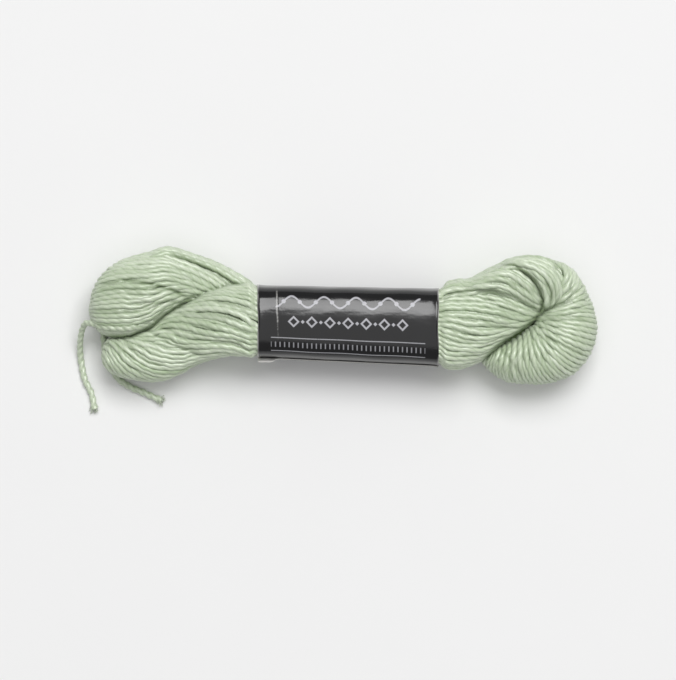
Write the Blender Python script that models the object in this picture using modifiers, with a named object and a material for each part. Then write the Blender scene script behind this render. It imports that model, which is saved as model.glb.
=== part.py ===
"""A small twisted skein of embroidery floss with a paper band, lying on a flat surface.

Metres, +Z up. The skein lies along X, its origin is under its middle, on the surface.
"""

import math
from collections import namedtuple

import bmesh
import bpy
from mathutils import Matrix, Vector

MM = 0.001

# Driving sizes, in millimetres.
BAND_LENGTH = 36.0
BAND_LEFT = (14.4, 14.2)  # width and height of the band's left mouth, outside
BAND_RIGHT = (15.4, 14.8)  # the same at its right mouth
BAND_LEFT_CENTRE = (-1.0, 8.2)  # Y and Z of the band's axis at its left mouth
BAND_RIGHT_CENTRE = (-2.2, 8.2)
BAND_WALL = 1.0
GAP = 0.3  # what touching pieces keep between them
KNOB_CENTRE = (36.4, -0.8)  # X and Y of the tuck that the right end turns round
END_THREAD = 1.4  # diameter of a loose end, which isn't stretched as the wound turns are
END_PITCH = 3.2  # length of one turn of its two plies
WAIST_END = 21.0  # how far the drawn-in waist runs to each side, into the bundles
REACH = 200.0  # side of a block that is larger than the skein

# How finely the forms are made.
FULLNESS = 2.3  # exponent of the bundles' sections: 2 is an ellipse, more is squarer
FLUTES = 15  # ridges of gathered turns round a bundle
FLUTE_DEPTH = 0.5
FLUTE_SHARE = 1 / 8  # a ridge is no deeper than this part of its section's half width or height
FLUTE_TURN = 2.9  # degrees that the ridges turn round a bundle in each millimetre along it
BUNDLE_STEP = 2.6  # spacing of a bundle's sections
COLLAR_STEP = 13.0  # degrees between the collar's sections
FAN_STEP = 7.2  # degrees between a ridge of the fan and the furrow beside it
FAN_SIDES = 16
BAND_SIDES = 40
STEPS_A_TURN = 6  # sections in one turn of a loose end's twist
PLY_SIDES = 10
PLY_VALLEY = 0.26  # how far the section of two plies is drawn in between them, as a part of it
PLY_FULLNESS = 1.5  # exponent that rounds the two plies
CURVE_STEPS = 20  # points between two places of a route, before they are spaced evenly
BED_POINTS = 12  # points along the furrow of the first loose end
BED_PLACES = 7  # places of that end's route that lie in its furrow
WELD = 1e-6  # metres within which corners are one

# A bundle that runs along X: at x it fills front..back in Y and foot..top in Z. A foot below zero
# is cut off at the surface that the skein rests on.
Section = namedtuple("Section", "x front back foot top")

UPPER_LOBE = [
    Section(-50.1, -0.6, 3.4, 5.4, 8.8),
    Section(-49.8, -2.4, 6.6, 3.8, 11.4),
    Section(-49.0, -3.6, 8.4, 2.4, 12.7),
    Section(-47.6, -4.3, 10.0, 0.8, 13.5),
    Section(-45.6, -4.5, 11.2, -0.1, 14.1),
    Section(-43.2, -4.3, 12.1, -0.5, 14.5),
    Section(-39.6, -2.9, 13.1, -0.5, 14.8),
    Section(-36.6, -0.6, 13.7, -0.5, 14.4),
    Section(-33.6, 1.0, 13.1, -0.5, 13.4),
    Section(-30.6, 1.8, 12.1, -0.4, 12.2),
    Section(-27.2, 1.2, 10.9, -0.3, 11.0),
    Section(-24.0, -1.0, 9.4, -0.2, 10.2),
    Section(-20.8, -4.0, 7.6, 0.2, 10.0),
    Section(-18.5, -5.4, 6.6, 0.6, 10.2),
]
LEFT_FRONT_BUNDLE = [
    Section(-49.1, -9.0, -6.4, 4.0, 7.0),
    Section(-48.6, -10.4, -5.2, 2.2, 8.8),
    Section(-47.6, -11.4, -4.0, 0.8, 10.2),
    Section(-46.2, -12.1, -3.4, -0.2, 11.0),
    Section(-43.6, -12.9, -3.0, -0.5, 11.5),
    Section(-39.6, -13.4, -1.4, -0.5, 11.8),
    Section(-36.6, -13.0, 1.5, -0.3, 12.0),
    Section(-33.6, -11.7, 3.4, 0.5, 12.5),
    Section(-30.6, -10.0, 4.3, 1.8, 13.4),
    Section(-27.2, -8.8, 5.6, 3.2, 14.7),
    Section(-24.0, -8.2, 6.4, 4.3, 15.5),
    Section(-20.8, -8.2, 6.6, 4.6, 15.8),
    Section(-18.35, -8.2, 6.4, 4.6, 15.6),
]
RIGHT_FRONT_BUNDLE = [
    Section(18.35, -10.0, 4.0, 2.3, 15.7),
    Section(19.8, -10.7, 4.9, 2.1, 15.9),
    Section(22.0, -10.8, 5.6, 1.8, 15.9),
    Section(24.2, -10.2, 6.0, 1.5, 15.7),
    Section(26.4, -9.2, 6.1, 1.3, 15.5),
    Section(28.4, -7.8, 6.0, 1.2, 15.2),
    Section(30.4, -6.2, 5.7, 1.3, 14.8),
    Section(32.8, -4.5, 4.9, 1.6, 14.0),
    Section(35.2, -2.8, 3.8, 2.2, 12.8),
    Section(37.2, -1.4, 2.6, 3.2, 11.0),
    Section(38.6, -0.4, 1.6, 4.8, 9.2),
]
RIGHT_BACK_BUNDLE = [
    Section(18.5, -1.4, 6.2, 0.6, 12.4),
    Section(20.2, 0.2, 7.1, 0.2, 13.1),
    Section(22.0, 1.2, 7.6, -0.2, 13.8),
    Section(24.2, 1.8, 7.6, -0.5, 14.4),
    Section(26.4, 2.0, 8.6, -0.5, 15.0),
    Section(28.4, 2.0, 9.7, -0.5, 15.5),
    Section(30.4, 1.8, 10.6, -0.5, 15.7),
    Section(32.4, 1.4, 10.8, -0.5, 15.5),
    Section(34.4, 0.8, 9.9, -0.5, 14.9),
    Section(36.4, 0.4, 8.4, -0.3, 14.2),
    Section(38.0, 0.2, 6.6, 0.4, 12.8),
    Section(39.4, 0.6, 4.6, 1.8, 10.6),
    Section(40.2, 1.6, 3.2, 4.0, 8.4),
]

# A bundle that turns round the knob's centre: at angle (degrees, 0 along +X, anticlockwise from
# above) it fills inner..outer from that centre and foot..top in Z.
Turn = namedtuple("Turn", "angle inner outer foot top")

COLLAR = [
    Turn(140, 9.0, 11.2, 2.0, 9.0),
    Turn(130, 8.8, 12.2, 0.4, 12.2),
    Turn(118, 9.0, 12.9, -0.4, 14.2),
    Turn(105, 8.4, 13.0, -0.5, 14.8),
    Turn(92, 6.8, 13.1, -0.5, 15.1),
    Turn(78, 5.2, 13.1, -0.5, 15.1),
    Turn(64, 3.6, 12.9, -0.4, 14.6),
    Turn(50, 2.4, 11.9, 0.0, 13.8),
    Turn(38, 1.8, 10.4, 0.8, 12.6),
    Turn(28, 1.6, 8.0, 1.8, 11.0),
    Turn(19, 2.0, 5.2, 3.4, 8.8),
]
FAN = [
    Turn(76, 10.6, 12.9, 3.0, 11.0),
    Turn(66, 10.0, 13.1, 2.2, 12.0),
    Turn(58, 9.2, 13.4, 1.2, 12.9),
    Turn(50, 8.2, 13.5, 0.6, 13.1),
    Turn(42, 6.4, 13.3, 0.1, 12.9),
    Turn(27, 3.0, 13.1, -0.3, 12.8),
    Turn(10, 1.0, 13.3, -0.5, 13.6),
    Turn(-10, 0.8, 13.9, -0.5, 14.0),
    Turn(-30, 0.8, 14.1, -0.5, 14.2),
    Turn(-50, 0.8, 14.1, -0.5, 14.2),
    Turn(-70, 0.9, 13.5, -0.5, 14.0),
    Turn(-90, 1.2, 13.1, -0.5, 13.8),
    Turn(-105, 1.8, 13.2, -0.5, 13.4),
    Turn(-118, 2.8, 13.3, -0.4, 12.6),
    Turn(-130, 4.6, 13.1, 0.3, 11.4),
    Turn(-139, 6.8, 12.9, 1.4, 9.8),
    Turn(-147, 8.8, 12.2, 3.2, 7.4),
]

# The loose ends' routes, in millimetres, read from the thread's start in the hank.
LOOSE_END_1_ROUTE = [
    (-38.8, -0.8, 12.5),
    (-41.6, -2.0, 12.2),
    (-44.6, -2.4, 12.1),
    (-47.2, -2.3, 11.7),
    (-49.4, -2.0, 10.6),
    (-51.2, -1.5, 9.0),
    (-52.6, -1.5, 7.2),
    (-53.5, -2.9, 5.2),
    (-54.0, -5.2, 3.0),
    (-54.1, -7.3, 1.5),
    (-53.9, -9.4, 0.8),
    (-53.2, -12.8, 0.75),
    (-51.9, -15.5, 0.75),
    (-51.2, -18.8, 0.75),
]
LOOSE_END_2_ROUTE = [
    (-47.2, 8.4, 0.8),
    (-48.6, 5.6, 0.8),
    (-49.4, 2.4, 0.8),
    (-49.6, -1.4, 0.8),
    (-49.3, -5.4, 0.8),
    (-48.6, -9.2, 0.8),
    (-46.5, -12.6, 0.8),
    (-44.0, -14.3, 0.8),
    (-41.6, -15.3, 0.8),
    (-39.6, -16.2, 0.8),
    (-37.7, -17.0, 0.8),
]


def new_collection(name):
    """A new collection in the scene."""
    collection = bpy.data.collections.new(name)
    bpy.context.scene.collection.children.link(collection)
    return collection


def new_object(name, data, collection):
    """An object of the mesh or curve, in the collection."""
    piece = bpy.data.objects.new(name, data)
    collection.objects.link(piece)
    return piece


def new_material(name, colour, roughness):
    """A plain material that isn't metal."""
    material = bpy.data.materials.new(name)
    material.use_nodes = True
    shader = material.node_tree.nodes["Principled BSDF"]
    shader.inputs["Base Color"].default_value = (*colour, 1.0)
    shader.inputs["Roughness"].default_value = roughness
    shader.inputs["Metallic"].default_value = 0.0
    return material


def smooth_row(rows, at):
    """The table's row at a value of its first column, on a curve through all its rows."""
    keys = [row[0] for row in rows]
    rising = keys[-1] > keys[0]
    i = 0
    while i < len(rows) - 2 and (at > keys[i + 1] if rising else at < keys[i + 1]):
        i += 1
    span = keys[i + 1] - keys[i]
    t = (at - keys[i]) / span
    values = [at]
    for column in range(1, len(rows[0])):
        slopes = []
        for j in (i, i + 1):
            before, after = max(j - 1, 0), min(j + 1, len(rows) - 1)
            rise = rows[after][column] - rows[before][column]
            slopes.append(rise / (keys[after] - keys[before]) * span)
        a, b = rows[i][column], rows[i + 1][column]
        values.append(
            (2 * t**3 - 3 * t**2 + 1) * a
            + (t**3 - 2 * t**2 + t) * slopes[0]
            + (3 * t**2 - 2 * t**3) * b
            + (t**3 - t**2) * slopes[1]
        )
    return type(rows[0])(*values)


def oval(turn, half_width, half_height):
    """A point of a full oval, by its angle in radians."""
    c, s = math.cos(turn), math.sin(turn)
    power = 2.0 / FULLNESS
    across = math.copysign(abs(c) ** power, c) * half_width
    up = math.copysign(abs(s) ** power, s) * half_height
    return across, up


def loft(name, rings, collection):
    """A closed solid through rings of points, with a flat cap at each end."""
    mesh = bmesh.new()
    loops = [[mesh.verts.new(point * MM) for point in ring] for ring in rings]
    sides = len(loops[0])
    for first, second in zip(loops, loops[1:]):
        for i in range(sides):
            j = (i + 1) % sides
            mesh.faces.new((first[i], first[j], second[j], second[i]))
    mesh.faces.new(loops[0])
    mesh.faces.new(loops[-1])
    bmesh.ops.triangulate(mesh, faces=mesh.faces)
    bmesh.ops.recalc_face_normals(mesh, faces=mesh.faces)
    data = bpy.data.meshes.new(name)
    mesh.to_mesh(data)
    mesh.free()
    return new_object(name, data, collection)


def fluted_ring(front, back, foot, top, along, place):
    """One section with ridges round it, so far along its bundle.

    place makes a point of a distance across and a height.
    """
    half_width, half_height = (back - front) / 2, (top - foot) / 2
    depth = min(FLUTE_DEPTH, half_width * FLUTE_SHARE, half_height * FLUTE_SHARE)
    ring = []
    for i in range(2 * FLUTES):
        inset = depth if i % 2 else 0.0
        turn = math.pi * i / FLUTES + math.radians(FLUTE_TURN) * along
        across, up = oval(turn, half_width - inset, half_height - inset)
        ring.append(place((front + back) / 2 + across, (foot + top) / 2 + up))
    return ring


def even_steps(start, end, step):
    """Values from start to end that lie about a step apart."""
    count = max(2, round(abs(end - start) / step))
    return [start + (end - start) * i / count for i in range(count + 1)]


def table_steps(rows, step):
    """Every row of the table, with even steps between rows that stand far apart."""
    places = [rows[0][0]]
    for before, after in zip(rows, rows[1:]):
        count = max(1, round(abs(after[0] - before[0]) / step))
        for i in range(count):
            places.append(before[0] + (after[0] - before[0]) * (i + 1) / count)
    return places


def straight_bundle(name, rows, collection):
    """A bundle of gathered turns that runs along X."""
    rings = []
    for x in table_steps(rows, BUNDLE_STEP):
        row = smooth_row(rows, x)
        ring = fluted_ring(
            row.front, row.back, row.foot, row.top, x, lambda y, z: Vector((x, y, z))
        )
        rings.append(ring)
    return loft(name, rings, collection)


def knob_point(angle, radius, z):
    """A place round the knob's centre."""
    turn = math.radians(angle)
    x = KNOB_CENTRE[0] + radius * math.cos(turn)
    y = KNOB_CENTRE[1] + radius * math.sin(turn)
    return Vector((x, y, z))


def collar_bundle(name, rows, collection):
    """A bundle of gathered turns that goes round the knob's centre."""
    rings = []
    for angle in table_steps(rows, COLLAR_STEP):
        row = smooth_row(rows, angle)
        ring = fluted_ring(
            row.inner, row.outer, row.foot, row.top, 0.0, lambda r, z: knob_point(angle, r, z)
        )
        rings.append(ring)
    return loft(name, rings, collection)


def fan_bundle(name, rows, collection):
    """Turns that run outwards from the tuck, so its ridges follow one another round the knob."""
    rings = []
    for i, angle in enumerate(even_steps(rows[0].angle, rows[-1].angle, FAN_STEP)):
        row = smooth_row(rows, angle)
        inset = FLUTE_DEPTH if i % 2 else 0.0
        half_width = (row.outer - row.inner) / 2 - inset
        half_height = (row.top - row.foot) / 2 - inset
        middle, level = (row.inner + row.outer) / 2, (row.foot + row.top) / 2
        ring = []
        for j in range(FAN_SIDES):
            across, up = oval(2 * math.pi * (j + 0.5) / FAN_SIDES, half_width, half_height)
            ring.append(knob_point(angle, middle + across, level + up))
        rings.append(ring)
    return loft(name, rings, collection)


def band_ring(x, inset):
    """The band's section at x, inset from its outside."""
    t = x / BAND_LENGTH + 0.5
    width, height = (a + (b - a) * t for a, b in zip(BAND_LEFT, BAND_RIGHT))
    y, z = (a + (b - a) * t for a, b in zip(BAND_LEFT_CENTRE, BAND_RIGHT_CENTRE))
    ring = []
    for i in range(BAND_SIDES):
        across, up = oval(2 * math.pi * i / BAND_SIDES, width / 2 - inset, height / 2 - inset)
        ring.append(Vector((x, y + across, z + up)))
    return ring


def make_band(collection, material):
    """The paper band: an open tube, given its thickness inwards."""
    half = BAND_LENGTH / 2
    mesh = bmesh.new()
    left, right = (
        [mesh.verts.new(point * MM) for point in band_ring(x, 0.0)] for x in (-half, half)
    )
    for i in range(BAND_SIDES):
        j = (i + 1) % BAND_SIDES
        mesh.faces.new((left[i], left[j], right[j], right[i]))
    bmesh.ops.recalc_face_normals(mesh, faces=mesh.faces)
    data = bpy.data.meshes.new("label_band")
    mesh.to_mesh(data)
    mesh.free()
    data.shade_smooth()
    data.materials.append(material)
    band = new_object("label_band", data, collection)
    wall = band.modifiers.new("paper wall", "SOLIDIFY")
    wall.thickness = BAND_WALL * MM
    wall.offset = -1.0
    wall.use_even_offset = True
    return band


def floor_block(collection):
    """The block below the surface, which leaves the hank flat where it rests."""
    bpy.ops.mesh.primitive_cube_add(size=1.0)
    block = bpy.context.object
    block.name = "floor_block"
    scale = Matrix.Diagonal((REACH * MM, REACH * MM, REACH * MM, 1.0))
    block.data.transform(Matrix.Translation((0.0, 0.0, -REACH * MM / 2)) @ scale)
    for owner in block.users_collection:
        owner.objects.unlink(block)
    collection.objects.link(block)
    return block


def thread_bed(collection):
    """The furrow in which the first loose end lies on the hank before it leaves the left tip."""
    start, following = (Vector(point) for point in LOOSE_END_1_ROUTE[:2])
    before = start + (start - following).normalized() * GAP
    points, _ = curve_through([before, *LOOSE_END_1_ROUTE[:BED_PLACES]], BED_POINTS)
    data = bpy.data.curves.new("thread_bed", "CURVE")
    data.dimensions = "3D"
    data.bevel_depth = (END_THREAD / 2 + GAP) * MM
    data.bevel_resolution = 2
    data.use_fill_caps = True
    spline = data.splines.new("POLY")
    spline.points.add(len(points) - 1)
    for knot, place in zip(spline.points, points):
        knot.co = (*(place * MM), 1.0)
    tube = new_object("thread_bed_curve", data, collection)
    graph = bpy.context.evaluated_depsgraph_get()
    solid = bpy.data.meshes.new_from_object(tube.evaluated_get(graph))
    bpy.data.objects.remove(tube, do_unlink=True)
    mesh = bmesh.new()
    mesh.from_mesh(solid)
    bmesh.ops.remove_doubles(mesh, verts=mesh.verts, dist=WELD)
    bmesh.ops.recalc_face_normals(mesh, faces=mesh.faces)
    mesh.to_mesh(solid)
    mesh.free()
    return new_object("thread_bed", solid, collection)


def shells_of(mesh):
    """The mesh's faces, in groups that hang together."""
    left = set(mesh.faces)
    shells = []
    while left:
        reached = [left.pop()]
        shell = []
        while reached:
            face = reached.pop()
            shell.append(face)
            for edge in face.edges:
                if len(edge.link_faces) != 2:
                    continue  # a bubble that touches the outside meets it along such an edge
                for beside in edge.link_faces:
                    if beside in left:
                        left.remove(beside)
                        reached.append(beside)
        shells.append(shell)
    return shells


def keep_outer_shell(piece):
    """Applies the piece's Booleans and drops the bubbles left shut between its bundles."""
    graph = bpy.context.evaluated_depsgraph_get()
    solid = bpy.data.meshes.new_from_object(piece.evaluated_get(graph))
    piece.modifiers.clear()
    piece.data = solid
    mesh = bmesh.new()
    mesh.from_mesh(solid)
    bmesh.ops.remove_doubles(mesh, verts=mesh.verts, dist=WELD)
    bmesh.ops.triangulate(mesh, faces=mesh.faces)
    shells = sorted(shells_of(mesh), key=len)
    bubbles = [face for shell in shells[:-1] for face in shell]
    bmesh.ops.delete(mesh, geom=bubbles, context="FACES")
    mesh.to_mesh(solid)
    mesh.free()


def waist(name, collection):
    """The hank inside the band, drawn in to clear the band's wall."""
    inside = BAND_WALL + GAP
    rings = [band_ring(x, inside) for x in even_steps(-WAIST_END, WAIST_END, WAIST_END)]
    return loft(name, rings, collection)


def make_hank(collection, bundles, helpers, material):
    """The wound form: its bundles joined, then cleared for the thread's bed and cut level below."""
    hank = straight_bundle("hank", UPPER_LOBE, collection)
    hank.data.materials.append(material)
    straight_bundle("left_front_bundle", LEFT_FRONT_BUNDLE, bundles)
    waist("waist", bundles)
    straight_bundle("right_back_bundle", RIGHT_BACK_BUNDLE, bundles)
    straight_bundle("right_front_bundle", RIGHT_FRONT_BUNDLE, bundles)
    collar_bundle("collar", COLLAR, bundles)
    fan_bundle("fan", FAN, bundles)
    union = hank.modifiers.new("bundles", "BOOLEAN")
    union.operation = "UNION"
    union.operand_type = "COLLECTION"
    union.collection = bundles
    for cutter in (thread_bed(helpers), floor_block(helpers)):
        cut = hank.modifiers.new(cutter.name, "BOOLEAN")
        cut.operation = "DIFFERENCE"
        cut.object = cutter
    keep_outer_shell(hank)
    return hank


def curve_through(route, count):
    """Evenly spaced points of a smooth curve through the route, in millimetres."""
    points = [Vector(point) for point in route]
    points = [2 * points[0] - points[1], *points, 2 * points[-1] - points[-2]]
    fine = []
    for p0, p1, p2, p3 in zip(points, points[1:], points[2:], points[3:]):
        for i in range(CURVE_STEPS):
            t = i / CURVE_STEPS
            fine.append(
                0.5
                * (
                    2 * p1
                    + (p2 - p0) * t
                    + (2 * p0 - 5 * p1 + 4 * p2 - p3) * t**2
                    + (3 * p1 - p0 - 3 * p2 + p3) * t**3
                )
            )
    fine.append(points[-2])
    lengths = [0.0]
    for a, b in zip(fine, fine[1:]):
        lengths.append(lengths[-1] + (b - a).length)
    even = []
    j = 0
    for i in range(count + 1):
        goal = lengths[-1] * i / count
        while j < len(fine) - 2 and lengths[j + 1] < goal:
            j += 1
        part = (goal - lengths[j]) / (lengths[j + 1] - lengths[j])
        even.append(fine[j].lerp(fine[j + 1], part))
    return even, lengths[-1]


def ply_profile(collection):
    """The section of two plies side by side, as a closed curve in its own plane."""
    data = bpy.data.curves.new("two_plies", "CURVE")
    data.dimensions = "2D"
    spline = data.splines.new("POLY")
    spline.points.add(PLY_SIDES - 1)
    for i, point in enumerate(spline.points):
        turn = -2 * math.pi * i / PLY_SIDES
        valley = PLY_VALLEY * (1 - abs(math.cos(turn)) ** PLY_FULLNESS)
        radius = END_THREAD / 2 * (1 - valley)
        point.co = (radius * math.cos(turn) * MM, radius * math.sin(turn) * MM, 0.0, 1.0)
    spline.use_cyclic_u = True
    return new_object("two_plies", data, collection)


def make_loose_end(name, route, profile, collection, material):
    """A short length of the two-ply thread, whose section turns as its plies do."""
    _, length = curve_through(route, 2)
    count = round(length / END_PITCH * STEPS_A_TURN)
    points, _ = curve_through(route, count)
    data = bpy.data.curves.new(name, "CURVE")
    data.dimensions = "3D"
    data.twist_mode = "MINIMUM"
    data.bevel_mode = "OBJECT"
    data.bevel_object = profile
    data.use_fill_caps = True
    spline = data.splines.new("POLY")
    spline.points.add(len(points) - 1)
    for i, (knot, place) in enumerate(zip(spline.points, points)):
        knot.co = (*(place * MM), 1.0)
        knot.tilt = 2 * math.pi * i / STEPS_A_TURN
    data.materials.append(material)
    return new_object(name, data, collection)


def hide_helpers(collection):
    """Leaves what only shapes the hank out of the model."""
    for helper in collection.objects:
        helper.hide_render = True
        helper.display_type = "WIRE"


def main():
    """Removes what is in the scene and makes the skein."""
    for old in list(bpy.data.objects):
        bpy.data.objects.remove(old, do_unlink=True)
    skein = new_collection("skein_of_floss")
    bundles = new_collection("bundles_to_join")
    helpers = new_collection("cutters_and_guides")
    floss = new_material("floss", (0.42, 0.52, 0.34), 0.45)
    paper = new_material("band_paper", (0.012, 0.012, 0.013), 0.3)
    make_hank(skein, bundles, helpers, floss)
    make_band(skein, paper)
    profile = ply_profile(helpers)
    make_loose_end("loose_end_1", LOOSE_END_1_ROUTE, profile, skein, floss)
    make_loose_end("loose_end_2", LOOSE_END_2_ROUTE, profile, skein, floss)
    hide_helpers(bundles)
    hide_helpers(helpers)


main()
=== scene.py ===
"""A twisted skein of two-ply embroidery floss with a glossy paper band, on a pale floor.

Lengths in the tables are millimetres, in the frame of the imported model: X along the skein, +Z up.
"""

import math
from collections import namedtuple

import bpy
import numpy as np
from bpy.props import FloatProperty, FloatVectorProperty, IntProperty, PointerProperty
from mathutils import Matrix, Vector


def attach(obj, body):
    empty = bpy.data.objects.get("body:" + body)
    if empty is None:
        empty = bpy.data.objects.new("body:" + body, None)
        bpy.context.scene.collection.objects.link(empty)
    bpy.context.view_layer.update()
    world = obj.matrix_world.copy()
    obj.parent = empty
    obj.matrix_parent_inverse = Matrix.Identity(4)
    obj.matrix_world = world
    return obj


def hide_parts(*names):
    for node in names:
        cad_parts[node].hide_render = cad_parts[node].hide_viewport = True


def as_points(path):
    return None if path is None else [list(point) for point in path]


bl_info = {
    "name": "Skein of embroidery floss",
    "version": (1, 0, 0),
    "blender": (4, 5, 0),
    "location": "View3D > Sidebar > Skein",
    "description": "Lays a twisted skein of floss turn by turn, with its paper band and loose ends",
    "category": "Add Mesh",
}

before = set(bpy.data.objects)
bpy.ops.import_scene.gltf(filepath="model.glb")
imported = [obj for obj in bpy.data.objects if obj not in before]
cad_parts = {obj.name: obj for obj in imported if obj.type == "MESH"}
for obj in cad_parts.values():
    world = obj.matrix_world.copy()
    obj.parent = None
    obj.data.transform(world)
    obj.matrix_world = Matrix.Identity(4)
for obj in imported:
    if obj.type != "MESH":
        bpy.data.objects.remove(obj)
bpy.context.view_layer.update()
MM = 0.001


def rows_of(kind, *rows):
    """A table's rows, with their columns named."""
    return [kind(*row) for row in rows]


# The bundles' sections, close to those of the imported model.
Section = namedtuple("Section", "x front back foot top")
Turn = namedtuple("Turn", "angle inner outer foot top")

UPPER_LOBE = rows_of(
    Section,
    (-51.4, 0.2, 2.4, 5.8, 8.2),
    (-50.9, -1.6, 5.0, 4.4, 10.4),
    (-50.1, -2.8, 7.0, 3.4, 11.9),
    (-49.1, -3.6, 8.5, 2.4, 12.8),
    (-47.6, -4.3, 10.0, 0.8, 13.5),
    (-45.6, -4.5, 11.2, -0.1, 14.1),
    (-43.2, -4.3, 12.1, -0.5, 14.5),
    (-39.6, -2.9, 13.1, -0.5, 14.8),
    (-36.6, -0.6, 13.7, -0.5, 14.4),
    (-33.6, 1.0, 13.1, -0.5, 13.4),
    (-30.6, 1.8, 12.1, -0.4, 12.2),
    (-27.2, 1.2, 10.9, -0.3, 11.0),
    (-24.0, -1.0, 9.4, -0.2, 10.2),
    (-20.8, -4.0, 7.6, 0.2, 10.0),
    (-16.5, -5.6, 6.4, 0.6, 10.2),
)
LEFT_FRONT_BUNDLE = rows_of(
    Section,
    (-49.1, -9.0, -6.4, 4.0, 7.0),
    (-48.6, -10.4, -5.2, 2.2, 8.8),
    (-47.6, -11.4, -4.0, 0.8, 10.2),
    (-46.2, -12.1, -3.4, -0.2, 11.0),
    (-43.6, -12.9, -3.0, -0.5, 11.5),
    (-39.6, -13.4, -1.4, -0.5, 11.8),
    (-36.6, -13.0, 1.5, -0.3, 12.0),
    (-33.6, -11.7, 3.4, 0.5, 12.5),
    (-30.6, -10.0, 4.3, 1.8, 13.4),
    (-27.2, -8.8, 5.6, 3.2, 14.7),
    (-24.0, -8.2, 6.4, 4.3, 15.5),
    (-20.8, -8.2, 6.6, 4.6, 15.8),
    (-16.5, -8.2, 6.2, 4.6, 15.6),
)
RIGHT_FRONT_BUNDLE = rows_of(
    Section,
    (16.5, -9.8, 3.8, 2.4, 15.6),
    (18.35, -10.0, 4.0, 2.3, 15.7),
    (19.8, -10.7, 4.9, 2.1, 15.9),
    (22.0, -10.8, 5.6, 1.8, 15.9),
    (24.2, -10.2, 6.0, 1.5, 15.7),
    (26.4, -9.2, 6.1, 1.3, 15.5),
    (28.4, -7.8, 6.0, 1.2, 15.2),
    (30.4, -6.2, 5.7, 1.3, 14.8),
    (32.8, -4.5, 4.9, 1.6, 14.0),
    (35.2, -2.8, 3.8, 2.2, 12.8),
    (37.2, -1.4, 2.6, 3.2, 11.0),
    (38.6, -0.4, 1.6, 4.8, 9.2),
)
RIGHT_BACK_BUNDLE = rows_of(
    Section,
    (16.5, -2.0, 5.4, 1.0, 13.2),
    (18.5, -1.4, 6.2, 0.6, 13.5),
    (20.2, 0.6, 7.1, 0.2, 13.6),
    (22.0, 1.8, 7.6, -0.2, 13.9),
    (24.2, 2.6, 7.6, -0.5, 14.4),
    (26.4, 3.0, 8.6, -0.5, 15.0),
    (28.4, 3.2, 9.7, -0.5, 15.5),
    (30.4, 3.0, 10.6, -0.5, 15.7),
    (32.4, 2.4, 10.8, -0.5, 15.5),
    (34.4, 1.6, 9.9, -0.5, 14.9),
    (36.4, 0.8, 8.4, -0.3, 14.2),
    (38.0, 0.4, 6.6, 0.4, 12.8),
    (39.4, 0.6, 4.6, 1.8, 10.6),
    (40.2, 1.6, 3.2, 4.0, 8.4),
)
COLLAR = rows_of(
    Turn,
    (140, 9.0, 11.2, 2.0, 9.0),
    (130, 9.6, 12.2, 0.4, 12.2),
    (118, 10.1, 12.9, -0.4, 14.2),
    (105, 9.2, 13.0, -0.5, 14.8),
    (92, 7.2, 13.1, -0.5, 15.1),
    (78, 5.3, 13.1, -0.5, 15.1),
    (64, 3.7, 12.9, -0.4, 14.6),
    (50, 2.6, 11.9, 0.0, 13.8),
    (38, 1.9, 10.4, 0.8, 12.6),
    (28, 1.6, 8.0, 1.8, 11.0),
    (19, 2.0, 5.2, 3.4, 8.8),
)
FAN = rows_of(
    Turn,
    (82, 10.6, 12.9, 3.0, 11.0),
    (66, 10.0, 13.1, 2.2, 12.0),
    (58, 9.2, 13.4, 1.2, 12.9),
    (50, 8.2, 13.5, 0.6, 13.1),
    (42, 6.4, 13.3, 0.1, 12.9),
    (27, 3.0, 13.1, -0.3, 12.8),
    (10, 1.0, 13.3, -0.5, 13.6),
    (-10, 0.8, 13.9, -0.5, 14.0),
    (-30, 0.8, 14.1, -0.5, 14.2),
    (-50, 0.8, 14.1, -0.5, 14.2),
    (-70, 0.9, 13.5, -0.5, 14.0),
    (-90, 1.2, 13.1, -0.5, 13.8),
    (-105, 1.8, 13.2, -0.5, 13.4),
    (-118, 2.8, 13.3, -0.4, 12.6),
    (-130, 4.6, 13.1, 0.3, 11.4),
    (-139, 6.8, 12.9, 1.4, 9.8),
    (-147, 8.8, 12.2, 3.2, 7.4),
)

KNOB_CENTRE = (36.4, -0.8)  # X and Y of the tuck that the right end turns round
FULLNESS = 2.3  # exponent of every section: 2 is an ellipse, more is squarer
MOUTH_FULLNESS = 4.0  # the same of the yarn where it goes into the band
BAND_FULLNESS = 8.0  # the same of the paper band, whose sides are then domed
BAND_DOME = (0.9, 1.3)  # how far its sides and its top and underside are domed
THREAD_SPACING = 0.99  # from one thread to the next at a bundle's widest section
# The under threads' tone of 0.42, below the outer threads' middling 0.5, is painted shade for lying
# under them.
UNDER_THREAD = {"tone": 0.42, "step": 0.6}  # how the threads are laid that lie under the outer ones
BUNDLE_RADIUS = 7.0  # of a middling bundle, to turn a sway into an angle
PAPER_ROOM = 0.22  # what the paper takes up inside the band's outside
HEART_DEPTH = 1.3  # how deep the inner turns lie, in widths of the thread
HEART_FOOT = 0.3  # how far the inner turns stay off the floor and the paper

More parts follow.
